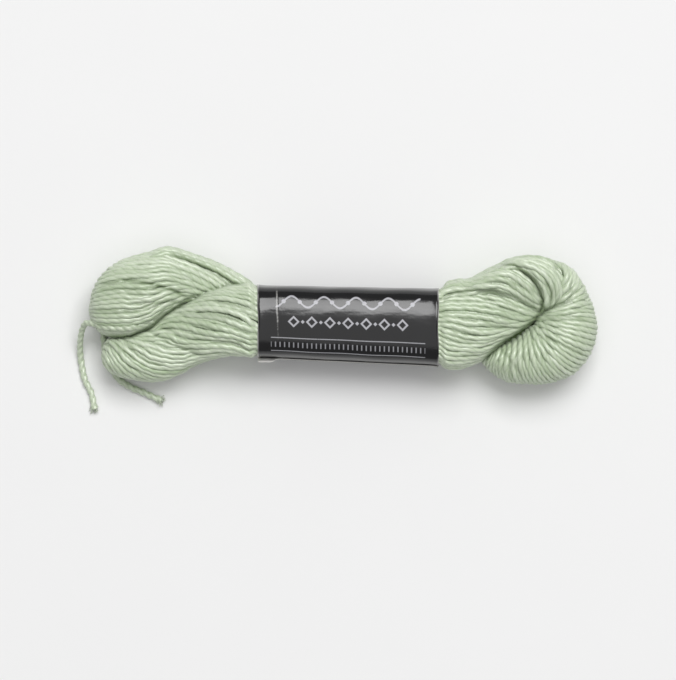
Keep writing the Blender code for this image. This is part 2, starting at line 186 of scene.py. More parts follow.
# How fast a bundle's turns go round it, in degrees a millimetre: at its front, on top, at its back.
Twist = namedtuple("Twist", "x front top back")
UPPER_LOBE_TWIST = rows_of(
    Twist,
    (-46.0, 0.5, 2.0, 2.0),
    (-43.0, 0.6, 2.2, 2.6),
    (-40.0, 0.2, 1.8, 3.0),
    (-36.0, -0.6, 1.8, 3.4),
    (-32.0, 0.0, 2.6, 3.6),
    (-27.0, 2.0, 3.0, 3.2),
    (-16.5, 2.9, 2.9, 2.9),
)
LEFT_FRONT_TWIST = rows_of(
    Twist,
    (-49.0, 50.0, 50.0, 50.0),
    (-48.0, 34.0, 34.0, 34.0),
    (-46.5, 19.0, 19.0, 19.0),
    (-44.0, 10.0, 10.5, 9.0),
    (-41.0, 7.0, 7.6, 6.0),
    (-37.0, 5.6, 6.6, 4.4),
    (-33.0, 4.6, 5.2, 3.2),
    (-29.0, 3.6, 4.2, 3.2),
    (-25.0, 2.4, 3.2, 3.3),
    (-16.5, 2.4, 2.8, 3.0),
)
RIGHT_FRONT_TWIST = rows_of(
    Twist,
    (16.5, 3.2, 2.4, 1.4),
    (22.0, 3.4, 2.4, 1.4),
    (26.0, 3.8, 3.0, 2.2),
    (30.0, 4.4, 4.0, 3.4),
    (34.0, 5.4, 5.2, 5.0),
    (38.6, 7.0, 7.0, 7.0),
)
RIGHT_BACK_TWIST = rows_of(
    Twist,
    (16.5, 2.9, 2.9, 2.9),
    (24.0, 3.2, 3.4, 3.4),
    (30.0, 3.2, 3.8, 3.8),
    (36.0, 3.2, 3.6, 3.6),
    (40.2, 3.0, 3.4, 3.4),
)
COLLAR_TWIST = rows_of(
    Twist,
    (0.0, 2.0, 2.2, 2.2),
    (24.0, 2.0, 2.2, 2.2),
)
# A turn of the fan leaves the skein's outline at one angle and goes into the tuck at another; a
# bend over 1 keeps it near the second one until it comes to the outline.
Lean = namedtuple("Lean", "outer inner bend")
FAN_LEAN = rows_of(
    Lean,
    (82.0, 47.0, 3.0),
    (66.0, 39.0, 2.8),
    (52.0, 31.0, 2.6),
    (36.0, 27.0, 2.0),
    (15.0, 22.0, 1.4),
    (-1.5, 9.0, 1.0),
    (-33.0, -53.0, 1.0),
    (-66.0, -98.0, 1.0),
    (-99.0, -136.0, 1.0),
    (-125.0, -145.0, 1.0),
    (-147.0, -147.0, 1.0),
)

# Creases between groups of turns: how deep each presses, how far from its line, how much painted
# shade it holds, and its line in X and Y.
Crease = namedtuple("Crease", "depth reach shade line")
CREASES = rows_of(
    Crease,
    (0.35, 0.90, 1.00, [
        (-49.2, -4), (-47.4, -4.2), (-43.6, -4.1), (-39.6, -2.4), (-36.6, 0.2), (-33.6, 2.2),
        (-30.6, 3.7),
    ]),
    (0.60, 1.10, 1.00, [(-34.4, 1.6), (-32.2, 3.2), (-29.8, 4.1)]),
    (0.30, 0.90, 0.60, [(-30.6, 3.7), (-28.8, 4.8), (-26.6, 5.6), (-23.2, 6.4)]),
    (0.90, 0.90, 0.95, [
        (-35.4, 12.4), (-32, 11.3), (-29.6, 10.2), (-25, 7.8), (-23.2, 6.48), (-21, 6.48),
    ]),
    (0.60, 0.80, 0.90, [(-49.6, 6.4), (-43.4, 7.04), (-38.8, 6.24), (-35.4, 5.32), (-32, 3.72)]),
    (0.30, 0.75, 0.55, [(-49.6, 5), (-47.4, 5.3), (-41.2, 5.2)]),
    (0.35, 0.75, 0.60, [(-51.2, 1.3), (-42.2, 1.2), (-39.8, 2.1), (-36.6, 2.8), (-33.6, 3.2)]),
    (0.30, 0.75, 0.60, [
        (-51.2, -1.8), (-46.8, -1.8), (-45, -2.2), (-41.6, -2), (-38.8, -0.8), (-36.4, 1.3),
    ]),
    (0.30, 0.75, 0.50, [(-26.6, 2.8), (-23.9, 2.4), (-19.6, 1)]),
    (0.30, 0.75, 0.50, [(-34.7, 0.5), (-32, 0.5), (-26.6, 0.04), (-20.4, -0.8)]),
    (0.30, 0.75, 0.50, [(-37.9, -2), (-32, -4.08), (-27.4, -5), (-20.4, -5.4)]),
    (0.35, 0.75, 0.60, [(-39.28, -3.4), (-35.2, -5.7), (-32, -6.8), (-28.8, -7.76)]),
    (0.40, 0.75, 0.70, [(-44.8, -4.8), (-42.26, -7.3), (-39.74, -9.14), (-36.52, -10.06)]),
    (0.30, 0.75, 0.55, [(-46.86, -5), (-45.02, -6.8), (-42.72, -8.9)]),
    (0.75, 0.90, 0.85, [(18.8, 3), (20.6, 4.4), (23.4, 5), (28.2, 5), (30.4, 4.7)]),
    (0.20, 0.80, 0.45, [(28.2, 5), (32.92, 4.1), (36.4, 2.2), (37.6, 1.4)]),
    (0.60, 0.85, 1.00, [(30.6, 10.3), (32.92, 10.12), (34.8, 9.06), (36.92, 7.2), (38.1, 5.28)]),
    (0.40, 0.85, 1.00, [(37.2, 6.6), (38.1, 5.28), (38.7, 3.4), (38.7, 1.52), (38.34, 0)]),
    (0.50, 0.80, 0.85, [(39, 7.2), (40.46, 4.8), (40.6, 2.6)]),
    (0.50, 0.85, 0.90, [(38.6, 0.7), (41.8, 2.4), (43.6, 2.8), (44.4, 4)]),
    (0.30, 0.75, 0.60, [(43.6, 2.8), (44.4, 4.4), (44.52, 7.2)]),
    (0.30, 0.75, 0.60, [(40.6, 10.8), (41.6, 9.4), (42.4, 7.8)]),
    (0.30, 0.75, 0.50, [(26.3, 3.88), (30.56, 1.74), (34.34, 0.6)]),
    (0.30, 0.75, 0.55, [(26.8, -1.32), (29.6, -2), (32.4, -2.5)]),
    (0.30, 0.75, 0.55, [(20.4, -3.68), (23.48, -4.6), (25.8, -5.1)]),
    (0.25, 0.75, 0.45, [(28.2, 6.46), (31.74, 6.46), (34.8, 5.8), (37.6, 4.1)]),
    (0.30, 0.75, 0.55, [(38.34, -0.5), (45.2, -0.38), (47.8, -1.08)]),
    (0.35, 0.75, 0.65, [(38.6, -3.68), (42.36, -5.56), (47.54, -8.04)]),
    (0.30, 0.75, 0.55, [(30.32, -6.04), (31.98, -8.4), (34.56, -11.7)]),
    (0.15, 1.40, 1.00, [
        (39, 1.2), (37.1, -1), (35, -2.6), (33.1, -4.1), (31.2, -5.3), (29.4, -6.6), (27.2, -9),
    ]),
)

LOOSE_END_1_ROUTE = [
    (-38.8, -0.8, 12.5),
    (-41.6, -2.0, 12.2),
    (-44.6, -2.4, 12.1),
    (-47.2, -2.3, 11.7),
    (-49.4, -2.0, 10.6),
    (-51.2, -1.5, 9.0),
    (-52.6, -1.5, 7.2),
    (-53.5, -2.9, 5.2),
    (-54.0, -5.2, 3.0),
    (-54.1, -7.3, 1.5),
    (-53.9, -9.4, 0.8),
    (-53.2, -12.8, 0.75),
    (-51.9, -15.5, 0.75),
    (-51.2, -18.8, 0.75),
]
LOOSE_END_2_ROUTE = [
    (-47.2, 8.4, 0.8),
    (-48.6, 5.6, 0.8),
    (-49.4, 2.4, 0.8),
    (-49.6, -1.4, 0.8),
    (-49.3, -5.4, 0.8),
    (-48.6, -9.2, 0.8),
    (-46.5, -12.6, 0.8),
    (-44.0, -14.3, 0.8),
    (-41.6, -15.3, 0.8),
    (-39.6, -16.2, 0.8),
    (-37.7, -17.0, 0.8),
]

# The paper band's outside at its left and right mouths: width in Y, height in Z, Y and Z of its axis.
BAND_MOUTHS = ((14.4, 14.2, -1.0, 8.2), (15.4, 14.8, -2.2, 8.2))
BAND_HALF = 18.0  # half of the band's length


def length_setting(name, description, default, low, high):
    """A length that a user may change, given here in millimetres."""
    return FloatProperty(
        name=name,
        description=description,
        default=default * MM,
        min=low * MM,
        max=high * MM,
        unit="LENGTH",
    )


def colour_setting(name, description, *default):
    """A colour that a user may change."""
    return FloatVectorProperty(
        name=name,
        description=description,
        default=default,
        subtype="COLOR",
        min=0.0,
        max=1.0,
    )


class SkeinSizes(bpy.types.PropertyGroup):
    """Sizes of the thread and of the paper."""

    thread_width: length_setting(
        "Thread width", "Width of one turn of the wound thread", 1.12, 0.5, 3.0
    )
    ply_pitch: length_setting(
        "Ply pitch", "Length in which the plies of a turn go once round each other", 4.4, 1.0, 8.0
    )
    end_width: length_setting(
        "Loose end width", "Width of a loose end, which isn't stretched as turns are", 1.4, 0.5, 3.0
    )
    end_pitch: length_setting(
        "Loose end ply pitch", "The length of one round of a loose end's plies", 3.2, 1.0, 8.0
    )
    band_length: length_setting(
        "Band length", "Length of the paper band along the skein", 36.0, 5.0, 80.0
    )
    paper: length_setting("Paper thickness", "Thickness of the band's paper", 0.22, 0.05, 1.0)
    thread_sides: IntProperty(
        name="Sides of a thread",
        description="How many faces go round one thread",
        default=10,
        min=6,
        max=16,
    )


class SkeinColours(bpy.types.PropertyGroup):
    """Colours of the thread, the band and the floor."""

    floss_light: colour_setting("Floss, light", "The palest fibres", 0.665, 0.74, 0.585)
    floss_dark: colour_setting("Floss, dark", "The deepest fibres", 0.40, 0.502, 0.318)
    # The inside colour is painted shade: a dark green for the inner turns seen in the gaps, and the
    # colour that the creases' painted shade darkens toward.
    heart: colour_setting("Floss, inside", "Turns that lie under the outer ones", 0.12, 0.192, 0.062)
    band: colour_setting("Band", "The band's coated side", 0.0045, 0.0045, 0.005)
    ornament: colour_setting("Band ornament", "The silver ornament", 0.42, 0.42, 0.45)
    paper: colour_setting("Paper", "The band's bare side and cut edges", 0.84, 0.83, 0.80)
    floor: colour_setting("Floor", "The pale floor", 0.86, 0.86, 0.86)


# ---------------------------------------------------------------- shader nodes


def math_node(operation, swapped=False):
    """A method that adds a Math node to the wire's material and gives what it makes."""

    def method(self, *others):
        values = (*others, self) if swapped else (self, *others)
        settings, inputs = {"operation": operation}, dict(enumerate(values))
        return self.finish.node("ShaderNodeMath", settings, inputs)

    return method


class Wire:
    """One output of a node, so that sums on it are written as ordinary sums."""

    def __init__(self, finish, socket):
        self.finish = finish
        self.socket = socket

    __add__ = __radd__ = math_node("ADD")
    __mul__ = __rmul__ = math_node("MULTIPLY")
    __sub__ = math_node("SUBTRACT")
    __rsub__ = math_node("SUBTRACT", swapped=True)
    __truediv__ = math_node("DIVIDE")
    __abs__ = math_node("ABSOLUTE")
    wave = math_node("SINE")
    cosine = math_node("COSINE")
    part = math_node("FRACT")
    most = math_node("MAXIMUM")


class Finish:
    """One material and its nodes."""

    def __init__(self, name):
        self.material = bpy.data.materials.new(name)
        self.material.use_nodes = True
        self.tree = self.material.node_tree
        self.shader = self.tree.nodes["Principled BSDF"]

    def node(self, kind, settings=None, inputs=None, output=0):
        """A node of that type, its settings made first; what one of its outputs gives."""
        made = self.tree.nodes.new(kind)
        for name, value in (settings or {}).items():
            setattr(made, name, value)
        for name, value in (inputs or {}).items():
            self.feed(made.inputs[name], value)
        return Wire(self, made.outputs[output])

    def feed(self, socket, value):
        """Links the socket to what the value comes from, or sets it."""
        if isinstance(value, Wire):
            self.tree.links.new(value.socket, socket)
        elif socket.type == "RGBA" and len(value) == 3:
            socket.default_value = (*value, 1.0)
        else:
            socket.default_value = value

    def blend(self, share, first, second):
        """The colour that share of the way from the first to the second."""
        inputs = {"Factor": share, 6: first, 7: second}
        return self.node("ShaderNodeMix", {"data_type": "RGBA"}, inputs, output=2)

    def vector(self, x, y, z):
        """The three values as one."""
        return self.node("ShaderNodeCombineXYZ", None, {0: x, 1: y, 2: z})

    def noise(self, place, scale=1.0, detail=2.0):
        """Soft spots, that many a metre where the place is in metres."""
        inputs = {"Vector": place, "Scale": scale, "Detail": detail}
        return self.node("ShaderNodeTexNoise", None, inputs)

    def ridge(self, value, low, high):
        """0 at low and 1 at high, with soft ends."""
        settings = {"interpolation_type": "SMOOTHSTEP"}
        inputs = {"Value": value, "From Min": low, "From Max": high}
        return self.node("ShaderNodeMapRange", settings, inputs)

    def within(self, value, low, high):
        """1 at low and 0 at high, with soft ends."""
        return 1.0 - self.ridge(value, low, high)

    def bump(self, height, strength, distance):
        inputs = {"Height": height, "Strength": strength, "Distance": distance}
        return self.node("ShaderNodeBump", None, inputs)

    def along_and_round(self, layer):
        """The two values of one of the piece's own UV maps."""
        place = self.node("ShaderNodeUVMap", {"uv_map": layer})
        inputs = {"Vector": place}
        return [self.node("ShaderNodeSeparateXYZ", None, inputs, output=k) for k in (0, 1)]

    def attribute(self, name):
        """The value that the piece's own points carry under that name."""
        return self.node("ShaderNodeAttribute", {"attribute_name": name}, None, output=2)

    def place_in_frame(self):
        """X, Y and Z in metres."""
        return self.node("ShaderNodeTexCoord", None, None, output=3)

    def wear(self, **values):
        """Sets the shader's sockets, by their names with _ for a space."""
        for name, value in values.items():
            self.feed(self.shader.inputs[name.replace("_", " ")], value)
        return self.material


def scaled(colour, share):
    """The colour with its light multiplied."""
    return tuple(c * share for c in colour)


def floss_finish(name, colours):
    """Silky two-ply thread: fine fibres along it, and painted shade in its ply valleys and creases.
    """
    finish = Finish(name)
    along, around = finish.along_and_round("thread")
    tone = finish.attribute("tone")
    fibres = finish.noise(finish.vector(along * 0.35, around * 26.0, tone * 40.0), detail=3.0)
    wisps = finish.noise(finish.vector(along * 1.2, around * 5.0, tone * 70.0))
    # The plies' crests are at 0 and 0.5 of the way round, and the valleys between them get painted
    # shade.
    valley_shade = finish.within(abs((around * (2 * math.pi)).cosine()), 0.0, 0.55)
    share = tone * 0.62 + fibres * 0.36 + wisps * 0.28 - valley_shade * 0.22 - 0.06
    colour = finish.blend(finish.ridge(share, 0.0, 1.0), colours.floss_dark, colours.floss_light)
    # Painted shade: along the creases the colour goes toward the dark inside colour.
    colour = finish.blend(finish.attribute("shade") * 0.85, colour, scaled(colours.heart, 0.85))
    height = fibres * 0.7 + wisps * 0.3
    return finish.wear(
        Base_Color=colour,
        Roughness=fibres * 0.20 + 0.22,
        Normal=finish.bump(height, strength=0.35, distance=0.06 * MM),
        Sheen_Weight=0.35,
        Sheen_Roughness=0.45,
        Sheen_Tint=(0.9, 1.0, 0.84, 1.0),
        Specular_IOR_Level=1.0,
        Subsurface_Weight=0.25,
        Subsurface_Radius=(0.9, 1.0, 0.8),
        Subsurface_Scale=0.8 * MM,
    )


def inner_shade_finish(colours):
    """The turns under the outer ones, seen only in the gaps between them, in a dark green of painted
    shade.
    """
    finish = Finish("floss_inside_painted_shade")
    streaks = finish.noise(finish.place_in_frame(), scale=900.0, detail=3.0)
    colour = finish.blend(streaks, scaled(colours.heart, 0.6), colours.heart)
    return finish.wear(Base_Color=colour, Roughness=streaks * 0.2 + 0.6)


def band_finish(colours):
    """Glossy black coated paper with a silver ornament, worn pale along its edges."""
    finish = Finish("band_coated_paper")
    along, around = finish.along_and_round("sheet")
    place = finish.place_in_frame()
    ornament = band_ornament(finish, along, around)
    grain = finish.noise(place, scale=2600.0, detail=3.0)
    mottle = finish.noise(place, scale=240.0, detail=3.0)
    # Print wears off in specks, and the coating scuffs along the mouths.
    ornament = ornament * (1.0 - finish.ridge(mottle * 0.5 + grain * 0.5, 0.56, 0.72) * 0.6)
    scuff = finish.within(BAND_HALF - abs(along), 0.02, 0.34) * finish.ridge(mottle, 0.34, 0.62)
    coated = finish.blend(mottle, colours.band, scaled(colours.band, 1.9))
    printed = finish.blend(ornament, coated, colours.ornament)
    colour = finish.blend(scuff * 0.55, printed, colours.paper)
    # One crease across the band, cracked pale on top, and a faint ripple of the turns below.
    crease = finish.within(abs(along + 13.6 + around * 0.03), 0.0, 0.35)
    cracked = finish.ridge(crease, 0.3, 1.0) * finish.ridge(mottle * 0.6 + grain * 0.4, 0.36, 0.56)
    cracked = cracked * finish.ridge(around, 8.0, 13.2) * finish.within(around, 18.2, 19.6)
    colour = finish.blend(cracked * 0.4, colour, colours.paper)
    ripple = finish.noise(finish.vector(along * 0.16, around * 0.5, 0.0))
    height = grain * 0.05 + ripple * 0.7 - crease * 0.35 + ornament * 0.04
    return finish.wear(
        Base_Color=colour,
        Roughness=mottle * 0.08 + grain * 0.04 + ornament * 0.16 + 0.10,
        Normal=finish.bump(height, strength=0.35, distance=0.25 * MM),
        Specular_IOR_Level=0.5,
    )


def band_ornament(finish, along, around):
    """A mask of the band's ornament: a vine, a row of lozenges and a ruled border.

    along is millimetres from the band's middle, around millimetres up from the front of the skein.
    """
    vine_up, vine_wave = 16.6, 6.4
    row_up, row_spacing = 12.5, 3.6
    rules_up, strokes_up, stroke_spacing = (9.1, 6.2), 7.65, 0.9

    def from_nearest(spacing, shift=0.5):
        """How far along the nearest of a row of marks is; a shift of 0 gives those between."""
        return abs((along / spacing + shift).part() - 0.5) * spacing

    def inside(reach, edge):
        """1 up to that reach to both sides of the band's middle."""
        return finish.within(abs(along), reach, reach + edge)

    # A vine that winds along the upper part, with a berry in each of its bows.
    bow = (along * (2 * math.pi / vine_wave)).wave()
    vine = finish.within(abs(around - vine_up - bow * 1.15), 0.16, 0.28)
    berry_x = from_nearest(vine_wave / 2)
    berry_y = abs(around - vine_up)
    berries = finish.within(berry_x * berry_x + berry_y * berry_y, 0.14, 0.24)
    # Lozenges with hollow middles, and a dot between each two.
    row_y = abs(around - row_up)
    reach = from_nearest(row_spacing) + row_y
    lozenges = finish.within(reach, 1.12, 1.24) * finish.ridge(reach, 0.64, 0.76)
    dots = finish.within(from_nearest(row_spacing, 0.0) + row_y, 0.34, 0.44)
    # Two rules, and above the lower one short strokes side by side.
    upper_rule, lower_rule = (finish.within(abs(around - up), 0.06, 0.14) for up in rules_up)
    strokes = finish.within(from_nearest(stroke_spacing), 0.08, 0.16)
    strokes = strokes * finish.within(abs(around - strokes_up), 0.5, 0.62)
    border = upper_rule.most(lower_rule).most(strokes * 0.8) * inside(15.2, 0.2)
    vine = vine.most(berries) * inside(14.2, 0.3)
    return vine.most(lozenges.most(dots) * inside(12.08, 0.06)).most(border * 0.8)


def bare_paper_finish(colours):
    """The band's uncoated side and its cut edges."""
    finish = Finish("band_bare_paper")
    pulp = finish.noise(finish.place_in_frame(), scale=3200.0, detail=4.0)
    return finish.wear(
        Base_Color=finish.blend(pulp, scaled(colours.paper, 0.82), colours.paper),
        Roughness=pulp * 0.15 + 0.7,
        Normal=finish.bump(pulp, strength=0.3, distance=0.03 * MM),
    )


def floor_finish(colours):
    """A plain pale floor with a very faint tooth."""
    finish = Finish("pale_floor")
    tooth = finish.noise(finish.place_in_frame(), scale=40.0, detail=3.0)
    colour = finish.blend(tooth, scaled(colours.floor, 0.985), colours.floor)
    return finish.wear(Base_Color=colour, Roughness=0.75, Specular_IOR_Level=0.2)


# ---------------------------------------------------------------- laying thread


def smoothstep(value, low, high):
    """0 at low and 1 at high, with soft ends."""
    t = np.clip((value - low) / (high - low), 0.0, 1.0)
    return t * t * (3 - 2 * t)


def run_of(steps):
    """The length run at each point of a path, from the steps between its points."""
    return np.concatenate([[0.0], np.cumsum(steps)])


def through_rows(rows, at):
    """The table's columns at the values of its first one, on a smooth curve through its rows."""
    keys = np.array([row[0] for row in rows], float)
    table = np.array([row[1:] for row in rows], float)
    if keys[0] > keys[-1]:
        keys, table = keys[::-1], table[::-1]
    at = np.clip(np.asarray(at, float), keys[0], keys[-1])
    i = np.clip(np.searchsorted(keys, at, side="right") - 1, 0, len(keys) - 2)
    span = keys[i + 1] - keys[i]
    t = ((at - keys[i]) / span)[..., None]
    slopes = np.gradient(table, axis=0) / np.gradient(keys)[:, None]
    first, second = slopes[i] * span[..., None], slopes[i + 1] * span[..., None]
    return (
        (2 * t**3 - 3 * t**2 + 1) * table[i]
        + (t**3 - 2 * t**2 + t) * first
        + (3 * t**2 - 2 * t**3) * table[i + 1]
        + (t**3 - t**2) * second
    )


def oval(turn, half_width, half_height):
    """Points of a full oval, by their angles in radians."""
    c, s = np.cos(turn), np.sin(turn)
    power = 2.0 / FULLNESS
    return (
        np.copysign(np.abs(c) ** power, c) * half_width,
        np.copysign(np.abs(s) ** power, s) * half_height,
    )


def section_places(rows, at, turn, depth):
    """Across and up of points that lie so deep in the section, at angles round it."""
    near, far, foot, top = np.moveaxis(through_rows(rows, at), -1, 0)
    half_width = np.maximum((far - near) / 2 - depth, 0.05)
    half_height = np.maximum((top - foot) / 2 - depth, 0.05)
    across, up = oval(turn, half_width, half_height)
    return (near + far) / 2 + across, (foot + top) / 2 + up


def straight_place(rows, at, turn, depth):
    """Places in a bundle that runs along X, at that X."""
    across, up = section_places(rows, at, turn, depth)
    x = np.broadcast_to(at, across.shape)
    return np.stack([x, across, up], axis=-1)


def knob_place(rows, at, turn, depth):
    """Places in a bundle that goes round the knob's centre, at that angle."""
    out, up = section_places(rows, at, turn, depth)
    angle = np.radians(np.broadcast_to(at, out.shape))
    x = KNOB_CENTRE[0] + out * np.cos(angle)
    y = KNOB_CENTRE[1] + out * np.sin(angle)
    return np.stack([x, y, up], axis=-1)


def round_section(rows, at, depth):
    """Angles round a section, from its underside on, and the length run up to each."""
    turn = np.linspace(0.0, 2 * math.pi, 721) - math.pi / 2
    across, up = section_places(rows, np.full_like(turn, at), turn, depth)
    return turn, run_of(np.hypot(np.diff(across), np.diff(up)))


def even_turns(rows, at, depth, count):
    """Angles round the section at which that many threads lie evenly, from the underside on."""
    turn, lengths = round_section(rows, at, depth)
    return np.interp((np.arange(count) + 0.5) / count * lengths[-1], lengths, turn)


def threads_round(rows, at, depth, spacing=THREAD_SPACING):
    """How many threads lie side by side round the section."""
    return int(round_section(rows, at, depth)[1][-1] / spacing)


def follow_twist(twist, stations, starts):
    """Each thread's angle at every station, as the twist carries it from the first one."""
    turns = [np.asarray(starts, float)]
    for here, there in zip(stations, stations[1:]):
        front, top, back = np.moveaxis(through_rows(twist, np.array([here])), -1, 0)
        c = np.cos(turns[-1])
        rate = top + (back - top) * np.maximum(c, 0.0) + (front - top) * np.maximum(-c, 0.0)
        turns.append(turns[-1] + np.radians(rate) * (there - here))
    return np.array(turns).T


def eased(values, reach):
    """The values evened out along each thread."""
    kernel = np.hanning(2 * reach + 3)[1:-1]
    kernel /= kernel.sum()
    padded = np.pad(values, ((0, 0), (reach, reach)), mode="edge")
    return np.array([np.convolve(row, kernel, mode="valid") for row in padded])


def wander(rng, run, reach, wave):
    """A smooth random sway at each place of a run."""
    count = max(4, int(abs(run[-1] - run[0]) / wave) + 3)
    knots = rng.normal(0.0, reach, count)
    t = (run - run[0]) / (run[-1] - run[0]) * (count - 1)
    i = np.clip(t.astype(int), 0, count - 2)
    part = smoothstep(t - i, 0.0, 1.0)
    return knots[i] * (1 - part) + knots[i + 1] * part


def evenly(points, step):
    """The same path with points that far apart, and its length. Further columns are carried."""
    lengths = run_of(np.linalg.norm(np.diff(points[:, :3], axis=0), axis=1))
    count = max(3, int(round(lengths[-1] / step)))
    goals = np.linspace(0.0, lengths[-1], count + 1)
    columns = [np.interp(goals, lengths, points[:, k]) for k in range(points.shape[1])]
    return np.column_stack(columns), lengths[-1]


def on_the_floor(points, radius):
    """The path with nothing of it below the surface that the skein rests on."""
    lifted = points.copy()
    lifted[..., 2] = np.maximum(lifted[..., 2], radius)
    return lifted


def band_at(share):
    """The band's width, height and axis at that share of its length, from its left mouth."""
    left, right = np.array(BAND_MOUTHS)
    return left + (right - left) * share


def into_the_band(points, room):
    """The path drawn in where it goes into the paper band, which leaves that much room."""
    x = points[..., 0]
    mouth = band_at(np.clip((x / BAND_HALF + 1) / 2, 0.0, 1.0)[..., None])
    half_width, half_height = mouth[..., 0] / 2 - room, mouth[..., 1] / 2 - room
    across, up = points[..., 1] - mouth[..., 2], points[..., 2] - mouth[..., 3]
    level, squarer = (
        (np.abs(across / half_width) ** power + np.abs(up / half_height) ** power) ** (1 / power)
        for power in (FULLNESS, MOUTH_FULLNESS)
    )
    # Past the mouth it has more room, little at first.
    outside = np.clip((np.abs(x) - BAND_HALF - 0.3) / 2.2, 0.0, None)
    allowed = 1.0 + outside**1.5 * 0.35
    # The yarn spreads into the mouth's corners, where it would else leave the paper.
    filling = 1.0 - smoothstep(np.abs(x), BAND_HALF, BAND_HALF + 4.5)
    spread = 1.0 + (level / np.maximum(squarer, 1e-6) - 1.0) * filling
    scale = np.minimum(1.0, allowed / np.maximum(level, 1e-6)) * spread
    drawn = points.copy()
    drawn[..., 1] = mouth[..., 2] + across * scale
    drawn[..., 2] = mouth[..., 3] + up * scale
    return drawn


def from_line(points, corners):
    """How far each point is from a line in plan, and how far it is along it from the nearer end."""
    legs = [np.linalg.norm(b - a) for a, b in zip(corners, corners[1:])]
    nearest = np.full(points.shape[:-1], 99.0)
    from_end = np.zeros(points.shape[:-1])
    passed = 0.0
    for a, b, leg in zip(corners, corners[1:], legs):
        offset = points[..., :2] - a
        t = np.clip((offset @ (b - a)) / leg**2, 0.0, 1.0)
        off = np.linalg.norm(offset - t[..., None] * (b - a), axis=-1)
        run = passed + t * leg
        from_end = np.where(off < nearest, np.minimum(run, sum(legs) - run), from_end)
        nearest = np.minimum(nearest, off)
        passed += leg
    return nearest, from_end


def creased(points, shading=False):
    """How deep the creases press each of the points or, for shading, how much painted shade they put
    on it.
    """
    found = np.zeros(points.shape[:-1])
    for crease in CREASES:
        nearest, from_end = from_line(points, np.array(crease.line, float))
        fading = smoothstep(from_end, -0.8, 1.4)
        if shading:
            share = crease.shade * (1.0 - smoothstep(nearest, 0.0, crease.reach * 0.65))
        else:
            share = crease.depth * (1.0 - smoothstep(nearest, 0.25, crease.reach))
        found = np.maximum(found, share * fading)
    return found


def thread_spacing(paths):
    """How far each thread's line is from those beside it, square to it."""
    ahead = np.gradient(paths, axis=1)
    ahead /= np.linalg.norm(ahead, axis=-1, keepdims=True) + 1e-9
    gap = np.roll(paths, -1, axis=0) - paths
    gap = gap - (gap * ahead).sum(axis=-1, keepdims=True) * ahead
    gap = np.linalg.norm(gap, axis=-1)
    return eased((gap + np.roll(gap, 1, axis=0)) / 2, 6)


def crowding(rng, spacing, width):
    """Which threads go under where they crowd, from 0 to 1, and how wide the others lie.

    Every second thread goes under first, then every fourth, so that those on top keep their width.
    """
    halvings, narrowest = 3, 0.64
    number = np.arange(1, len(spacing) + 1)
    under = np.zeros_like(spacing)
    seen = spacing * 2**halvings
    for level in reversed(range(halvings)):
        shown = spacing * 2**level
        seen = np.where(shown > narrowest * width, shown, seen)
        chosen = (number % 2 ** (level + 1)) == 2**level
        sooner = rng.normal(0.0, 0.03, (len(spacing), 1))
        goes = 1.0 - smoothstep(shown / width + sooner, narrowest - 0.08, narrowest + 0.08)
        under = np.where(chosen[:, None], goes, under)
    return eased(under, 8), eased(np.clip(seen / width * 1.16, 0.84, 1.2), 12)


def thread_family(threads, place, rows, at, turns, raised=0.0, loose=1.0, pressed=1.0):
    """Paths of threads side by side, with their widths in a fourth column.

    raised is how far they stand out; loose is 1 where they may sway or go under each other, and 0
    where they may not; pressed is 1 where the creases press them.
    """
    rng, radius = threads.rng, threads.radius
    base = place(rows, at, turns, radius)
    run = run_of(np.linalg.norm(np.diff(base[0], axis=0), axis=1))
    under, swell = crowding(rng, thread_spacing(base), 2 * radius)
    on_top = smoothstep(np.sin(turns), -0.1, 0.15)
    press = eased(creased(base) * on_top, 5) * pressed
    depth, sway = np.zeros_like(turns), np.zeros_like(turns)
    for number in range(len(turns)):
        depth[number] = abs(rng.normal(0.0, 0.06)) + wander(rng, run, reach=0.06, wave=4.0)
        sway[number] = wander(rng, run, reach=0.14, wave=6.0) / BUNDLE_RADIUS
    depth = radius + (depth + under) * loose + press - raised
    swell = swell * (1.0 + 0.12 * (1.0 - loose))
    paths = place(rows, at, turns + sway * loose, depth)
    paths = into_the_band(on_the_floor(paths, radius * 0.95), PAPER_ROOM + radius * 1.1)
    return np.concatenate([paths, swell[..., None]], axis=-1)


def under_family(threads, place, rows, at, turns):
    """Plainer threads that lie in the gaps between the outer ones, a little deeper."""
    between = (turns + np.roll(turns, -1, axis=0)) / 2
    between[-1] = turns[-1] + (turns[-1] - turns[-2]) / 2
    between = between + threads.rng.normal(0.0, 0.01, (len(turns), 1))
    on_top = smoothstep(np.sin(between), -0.1, 0.15)
    press = creased(place(rows, at, between, threads.radius)) * on_top
    paths = place(rows, at, between, threads.radius * 2.0 + press)
    return into_the_band(on_the_floor(paths, threads.radius), 0.3 + threads.radius * 1.6)


def carried_frames(points):
    """Two directions across the path at each of its points, carried along it without twist."""
    tangents = np.gradient(points, axis=0)
    tangents /= np.linalg.norm(tangents, axis=1)[:, None] + 1e-12
    start = np.array([0.0, 0.0, 1.0]) if abs(tangents[0, 2]) < 0.9 else np.array([1.0, 0.0, 0.0])
    side = np.cross(tangents[0], start)
    side /= np.linalg.norm(side)
    sides = []
    for tangent in tangents:
        side = side - tangent * np.dot(side, tangent)
        side = side / (np.linalg.norm(side) + 1e-12)
        sides.append(side)
    sides = np.array(sides)
    return sides, np.cross(tangents, sides)


